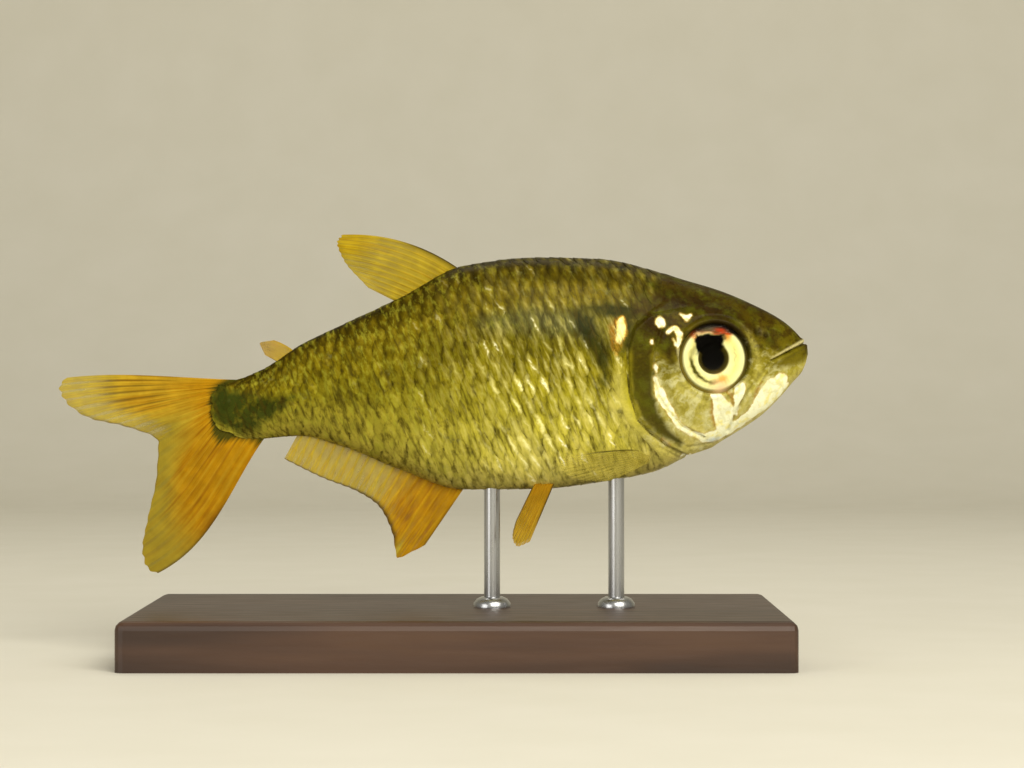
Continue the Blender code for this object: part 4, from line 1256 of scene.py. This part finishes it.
def make_paired_fins(settings):
    """Pectoral and pelvic fins of both sides."""
    clear = fin_material("clear_fin_membrane", settings.fin_clear, "#C0B450", "#2E2604")
    orange = bpy.data.materials["orange_fin_membrane"]
    # name, sizes, material, slot, colour's strength at the root, its loss to the margin, cover at the root
    kinds = (
        ("pectoral_fin", PECTORAL, clear, "clear_fin", 0.45, 0.2, 0.34),
        ("pelvic_fin", PELVIC, orange, "red_fin", 0.95, 0.45, 0.8),
    )
    for kind, sizes, material, slot, warm, fading, cover in kinds:
        for side, word in ((1.0, "left"), (-1.0, "right")):
            mesh, share, out = fin_mesh(kind, {**sizes, **PAIRED})
            _, place, height = sizes["root"][0]
            first = Vector((place, 0.0, height)) * MM
            turn = Euler([radians(angle) for angle in sizes["turn"]]).to_matrix().to_4x4()
            shift = Matrix.Translation(first + Vector((0.0, sizes["side"] * MM, 0.0)))
            mesh.transform(shift @ turn @ Matrix.Translation(-first))
            if side < 0:
                mesh.transform(Matrix.Diagonal((1.0, -1.0, 1.0, 1.0)))
                mesh.flip_normals()
            lead = bump_at(share, 0.06) * (1.0 - soft_step(0.55, 0.95, out))
            colour_fin(mesh, warm - fading * out, 0.9 * lead, cover - 0.3 * out)
            piece_from(f"{kind}_{word}_render", mesh, material, (f"{kind}_{word}",))


def line_of(points):
    """A bmesh of a line through points."""
    bm = bmesh.new()
    line = [bm.verts.new(point) for point in points]
    for pair in zip(line, line[1:]):
        bm.edges.new(pair)
    return bm


def spun_mesh(name, points, centre, axis, sides, apart):
    """A mesh spun from a line of points, without doubles."""
    bm = line_of(points)
    bmesh.ops.spin(
        bm, geom=bm.verts[:] + bm.edges[:], cent=centre, axis=axis, angle=2 * pi, steps=sides, use_merge=True
    )
    bmesh.ops.remove_doubles(bm, verts=bm.verts, dist=apart)
    bmesh.ops.recalc_face_normals(bm, faces=bm.faces)
    return mesh_from(name, bm)


def eye_ring(name, profile, sides, centre, side):
    """A round part of the eye, spun about the line of sight from radii and depths."""
    points = [(radius, depth, 0.0) for radius, depth in profile]
    mesh = spun_mesh(name, points, (0, 0, 0), (0, 1, 0), sides, 1e-5)
    flat = vertex_array(mesh)
    turn = Matrix.Rotation(radians(-side * EYE_TURN), 4, "Z")
    flip = Matrix.Diagonal((1.0, side, 1.0, 1.0))
    mesh.transform(Matrix.Scale(MM, 4) @ Matrix.Translation(Vector(centre)) @ turn @ flip)
    if side < 0:
        mesh.flip_normals()
    return mesh, flat


def iris_marks(mesh, flat):
    """Stores the iris's colours: red above, dusky below and behind, the pupil's dark peak, and painted shade
    at its edge, deepest at the upper right.
    """
    x = flat[:, 0]
    z = flat[:, 2]
    radius = np.hypot(x, z)
    reach = (radius - PUPIL_RADIUS) / (IRIS_RADIUS - PUPIL_RADIUS)
    sweep = np.arctan2(z, x)
    streak = 0.25 * np.sin(47 * sweep) + 0.25 * np.sin(83 * sweep + 5.0 * radius)
    streak = 0.5 + streak * soft_step(0.0, 0.2, reach)
    ragged = 0.06 * np.sin(4 * x + 3 * z) + 0.04 * np.sin(9 * z - 5 * x) + 0.03 * np.sin(17 * x + 6 * z)

    def spot(place, height, size, wide=1.0, high=1.0, stray=0.0):
        """A soft round spot."""
        return bump_at(np.hypot(wide * (x - place), high * (z - height)) + stray, size)

    def arc(towards, low, high):
        """1 towards an angle, 0 away from it."""
        return soft_step(low, high, np.cos(sweep - radians(towards)))

    roof = z - 2.34 + 0.05 * x + ragged
    line = bump_at(roof + 0.02, 0.13) * soft_step(-2.5, -2.1, x) * (0.45 + 0.55 * soft_step(-0.4, 0.2, x))
    patch = np.maximum(spot(0.6, 2.62, 0.36, 0.7, 1.5), 0.8 * spot(-2.0, 2.25, 0.34))
    glow = np.maximum(spot(1.25, 2.05, 0.42), 0.9 * spot(-1.75, 1.95, 0.32))
    brown = 0.8 * spot(0.7, -1.85, 0.5, 0.9, 1.3, 2 * ragged)
    peak = 1.0 - soft_step(1.22, 1.50, np.abs(x + 0.36) + 1.5 * ragged)
    peak = peak * soft_step(0.10, 0.70, z) * (1.0 - soft_step(2.14, 2.34, z + ragged))
    # painted shade at the iris's edge under the socket's rim, deepest at the upper right; it goes into black
    shaded = 0.5 + 0.5 * np.cos(sweep - radians(62.0))
    rim = soft_step(IRIS_RADIUS - 0.10 - 0.24 * shaded**2, IRIS_RADIUS + 0.02, radius)
    rim = rim * (0.10 + 0.85 * shaded)
    pupil = 1.0 - soft_step(PUPIL_RADIUS - 0.03, PUPIL_RADIUS + 0.06, radius)
    low = arc(-122.0, 0.30, 0.90)
    arcs = 0.92 * low * bump_at(radius - 2.20 + ragged, 0.20) + 0.55 * low * bump_at(radius - 2.92, 0.12)
    arcs = arcs + 0.52 * arc(175.0, 0.2, 0.9) * bump_at(radius - 2.10 + ragged, 0.26)
    arcs = arcs + 0.25 * low * bump_at(radius - 2.62, 0.05)
    arcs = arcs + 0.40 * arc(0.0, 0.8, 0.98) * bump_at(radius - 2.05 + ragged, 0.05)
    marks = {
        "reach": reach,
        "streak": streak,
        "roof": 0.94 * soft_step(-0.10, 0.12, roof),
        "red": np.maximum(line, patch) * (1.0 - soft_step(1.5, 1.9, x)),
        "amber": np.maximum(glow, brown),
        "black": np.max((pupil, peak, rim), axis=0),
        "dusky": arcs,
        "rose": 0.8 * spot(0.6, -2.65, 0.7, 1.0, 0.9),
    }
    for name, values in marks.items():
        write_values(mesh, name, np.clip(values, 0.0, 1.0))


def make_eyes(settings):
    """Both eyes: iris and pupil in one bowl, under a clear cornea."""
    iris = iris_material(settings)
    cornea = cornea_material()
    place, height = EYE_PLACE
    depth = float(body_side(place, height))
    bowl = [(0.0, -0.62), (PUPIL_RADIUS * 0.7, -0.60), (PUPIL_RADIUS, -0.50)]
    steps = 18
    for i in range(1, steps + 1):
        t = i / steps
        radius = PUPIL_RADIUS + (IRIS_RADIUS - PUPIL_RADIUS) * t
        bowl.append((radius, -0.36 + 0.26 * sin(pi * 0.5 * t) - 0.22 * t**6))
    bowl += [(IRIS_RADIUS + 0.14, -0.34), (IRIS_RADIUS + 0.25, -0.42), (IRIS_RADIUS + 0.31, -0.75)]
    bowl += [(2.4, -1.25), (0.0, -1.45)]
    dome = []
    for i in range(13):
        angle = pi / 2 * i / 12
        dome.append(((IRIS_RADIUS + 0.24) * sin(angle), -0.36 + 0.38 * cos(angle)))
    inner = [(r * 0.985, d - 0.04) for r, d in reversed(dome)]
    for side, word in ((1.0, "left"), (-1.0, "right")):
        centre = (place, side * depth, height)
        mesh, flat = eye_ring("iris", bowl, 96, centre, side)
        iris_marks(mesh, flat)
        piece_from(f"eye_{word}_iris", mesh, iris, (f"eye_{word}",))
        mesh, _ = eye_ring("cornea", dome + inner, 64, centre, side)
        piece_from(f"eye_{word}_cornea", mesh, cornea)


def make_stand(settings):
    """Finishes for the base and rods, and a turned collar at the foot of each rod."""
    steel = steel_material()
    coats = {"stand_base": walnut_material(settings), "stand_rod_front": steel, "stand_rod_back": steel}
    for name, material in coats.items():
        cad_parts[name].data.materials.clear()
        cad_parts[name].data.materials.append(material)
    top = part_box("stand_base")[1][2]
    for word in ("front", "back"):
        low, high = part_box(f"stand_rod_{word}")
        radius = (high[0] - low[0]) / 2
        place = (high[0] + low[0]) / 2
        points = [(place + radius * out, 0.0, top + up * MM) for out, up in COLLAR]
        mesh = spun_mesh("collar", points, (place, 0, 0), (0, 0, 1), 64, 1e-3 * MM)
        piece_from(f"collar_{word}", mesh, steel)


# Half a collar in section: how many radii of the rod out, millimetres up
COLLAR = ((1.04, 0.0), (2.3, 0.0), (2.3, 0.35), (1.9, 0.75), (1.35, 0.95), (1.04, 0.95), (1.04, 0.0))


def area_light(name, place, target, size, power, colour):
    """A soft studio lamp aimed at a point."""
    lamp = bpy.data.lights.new(name, "AREA")
    lamp.shape = "RECTANGLE"
    lamp.size = size[0]
    lamp.size_y = size[1]
    lamp.energy = power
    lamp.color = colour
    made = bpy.data.objects.new(name, lamp)
    made.location = place
    aim = Vector(target) - Vector(place)
    made.rotation_euler = aim.to_track_quat("-Z", "Y").to_euler()
    bpy.context.scene.collection.objects.link(made)


def make_stage(settings):
    """Pale floor that curves up behind, soft lamps and the camera."""
    material, add, shader = new_material("pale_paper")
    fibres = add("noise", add("place"), 1 / (12.0 * MM), 3.0)
    shade = add("ramp", fibres, stops=((0.3, "#DFDBCC"), (0.7, "#E2DED0")))
    fill(shader, {"Base Color": shade, "Roughness": 0.85})
    profile = [(-0.9, 0.0), (0.32, 0.0)]
    for i in range(1, 13):
        angle = pi / 2 * i / 12
        profile.append((0.32 + 0.14 * sin(angle), 0.14 - 0.14 * cos(angle)))
    profile.append((0.46, 0.9))
    bm = line_of((-1.2, y, z) for y, z in profile)
    draw_out(bm, bmesh.ops.extrude_edge_only(bm, edges=bm.edges[:]), (2.4, 0.0, 0.0))
    bmesh.ops.recalc_face_normals(bm, faces=bm.faces)
    floor = bpy.data.objects.new("floor", mesh_from("floor", bm))
    floor.data.materials.append(material)
    floor.data.shade_smooth()
    bpy.context.scene.collection.objects.link(floor)
    middle = (0.0, 0.0, 0.025)
    area_light("key", (0.16, -0.38, 0.29), middle, (0.38, 0.30), 2.5, (1.0, 0.96, 0.86))
    area_light("fill", (-0.30, -0.28, 0.10), middle, (0.24, 0.20), 0.40, (1.0, 0.98, 0.94))
    area_light("top", (0.02, 0.12, 0.36), middle, (0.26, 0.16), 0.30, (1.0, 0.97, 0.90))
    world = bpy.data.worlds.new("studio")
    world.use_nodes = True
    fill(world.node_tree.nodes["Background"], {"Color": "#DDD8C8", "Strength": 0.38})
    bpy.context.scene.world = world
    bpy.context.scene.view_settings.view_transform = "Standard"
    camera = bpy.data.cameras.new("camera")
    camera.lens = CAMERA_LENS
    camera.sensor_width = CAMERA_SENSOR
    camera.clip_start = 0.01
    distance = FRAME_WIDTH * MM * CAMERA_LENS / CAMERA_SENSOR
    made = bpy.data.objects.new("camera", camera)
    made.location = (FRAME_MIDDLE[0] * MM, -distance, FRAME_MIDDLE[1] * MM)
    made.rotation_euler = (pi / 2, 0.0, 0.0)
    bpy.context.scene.collection.objects.link(made)
    bpy.context.scene.camera = made


CAMERA_LENS = 100.0
CAMERA_SENSOR = 36.0
FRAME_WIDTH = 95.64  # what the photo's width takes in at the fish, in millimetres
FRAME_MIDDLE = (4.86, 25.3)


def size_property(name, description, default):
    """A size in millimetres that a user may change."""
    return FloatProperty(name=name, description=description + ", in millimetres", default=default, min=0.0)


def colour_property(name, description, hex_colour):
    """A colour that a user may change."""
    looks = {"default": linear(hex_colour), "size": 4, "subtype": "COLOR", "min": 0.0, "max": 1.0}
    return FloatVectorProperty(name=name, description=description, **looks)


class FishSettings(bpy.types.PropertyGroup):
    """Sizes and colours that a user would change."""

    skin_sides: IntProperty(name="Skin sides", description="Faces round the skin", default=320, min=48)
    skin_rings: IntProperty(name="Skin rings", description="Faces along the skin", default=290, min=60)
    scale_length: size_property("Scale length", "Bare part of a scale", 1.15)
    scale_height: size_property("Scale height", "Height of a row of scales", 1.85)
    scale_lift: size_property("Scale lift", "How far a hind edge stands up", 0.11)
    scale_thickness: size_property("Scale thickness", "Thickness of a scale", 0.035)
    silver: colour_property("Silver", "Bright plates of cheek and jaw", "#FFFFD8")
    gold: colour_property("Gold", "Patch behind the gill cover", "#FFFCA4")
    eye_red: colour_property("Eye red", "Upper edge of the iris", "#B22E00")
    fin_orange: colour_property("Fin orange", "Anal, pelvic and tail fins", "#AA7A02")
    fin_yellow: colour_property("Fin yellow", "Dorsal fin", "#A48A06")
    fin_clear: colour_property("Fin clear", "Pectoral fins", "#A89A28")
    stain: colour_property("Wood stain", "Tint over the walnut of the base", "#3C271A")


class FISH_OT_skin(bpy.types.Operator):
    """Makes the skin of the fish."""

    bl_idname = "fish.skin"
    bl_label = "Skin"

    def execute(self, context):
        make_skin(context.scene.fish_settings)
        return {"FINISHED"}


class FISH_OT_scales(bpy.types.Operator):
    """Lays the coat of scales."""

    bl_idname = "fish.scales"
    bl_label = "Scales"

    def execute(self, context):
        make_scales(context.scene.fish_settings)
        return {"FINISHED"}


class FISH_OT_eyes(bpy.types.Operator):
    """Makes both eyes."""

    bl_idname = "fish.eyes"
    bl_label = "Eyes"

    def execute(self, context):
        make_eyes(context.scene.fish_settings)
        return {"FINISHED"}


class FISH_OT_middle_fins(bpy.types.Operator):
    """Makes the dorsal, adipose and anal fin."""

    bl_idname = "fish.middle_fins"
    bl_label = "Middle fins"

    def execute(self, context):
        make_middle_fins(context.scene.fish_settings)
        return {"FINISHED"}


class FISH_OT_tail_fin(bpy.types.Operator):
    """Makes the tail fin."""

    bl_idname = "fish.tail_fin"
    bl_label = "Tail fin"

    def execute(self, context):
        make_tail_fin(context.scene.fish_settings)
        return {"FINISHED"}


class FISH_OT_paired_fins(bpy.types.Operator):
    """Makes the pectoral and pelvic fins."""

    bl_idname = "fish.paired_fins"
    bl_label = "Paired fins"

    def execute(self, context):
        make_paired_fins(context.scene.fish_settings)
        return {"FINISHED"}


class FISH_OT_stand(bpy.types.Operator):
    """Finishes the display stand."""

    bl_idname = "fish.stand"
    bl_label = "Stand"

    def execute(self, context):
        make_stand(context.scene.fish_settings)
        return {"FINISHED"}


class FISH_OT_stage(bpy.types.Operator):
    """Makes the floor, the lamps and the camera."""

    bl_idname = "fish.stage"
    bl_label = "Stage"

    def execute(self, context):
        make_stage(context.scene.fish_settings)
        return {"FINISHED"}


OPERATORS = (
    FISH_OT_skin,
    FISH_OT_scales,
    FISH_OT_eyes,
    FISH_OT_middle_fins,
    FISH_OT_tail_fin,
    FISH_OT_paired_fins,
    FISH_OT_stand,
    FISH_OT_stage,
)


class FISH_PT_panel(bpy.types.Panel):
    """Panel in the 3D view's sidebar."""

    bl_label = "Display fish"
    bl_space_type = "VIEW_3D"
    bl_region_type = "UI"
    bl_category = "Fish"

    def draw(self, context):
        """Lists the sizes and the operators."""
        for name in FishSettings.__annotations__:
            self.layout.prop(context.scene.fish_settings, name)
        for operator in OPERATORS:
            self.layout.operator(operator.bl_idname)


CLASSES = (FishSettings, *OPERATORS, FISH_PT_panel)


def register():
    """Adds the classes and the scene's settings."""
    for kind in CLASSES:
        bpy.utils.register_class(kind)
    bpy.types.Scene.fish_settings = PointerProperty(type=FishSettings)


def unregister():
    """Removes them again."""
    del bpy.types.Scene.fish_settings
    for kind in reversed(CLASSES):
        bpy.utils.unregister_class(kind)


def main():
    """Builds the dressed model."""
    register()
    for operator in OPERATORS:
        group, name = operator.bl_idname.split(".")
        getattr(getattr(bpy.ops, group), name)()


if __name__ == "__main__":
    main()
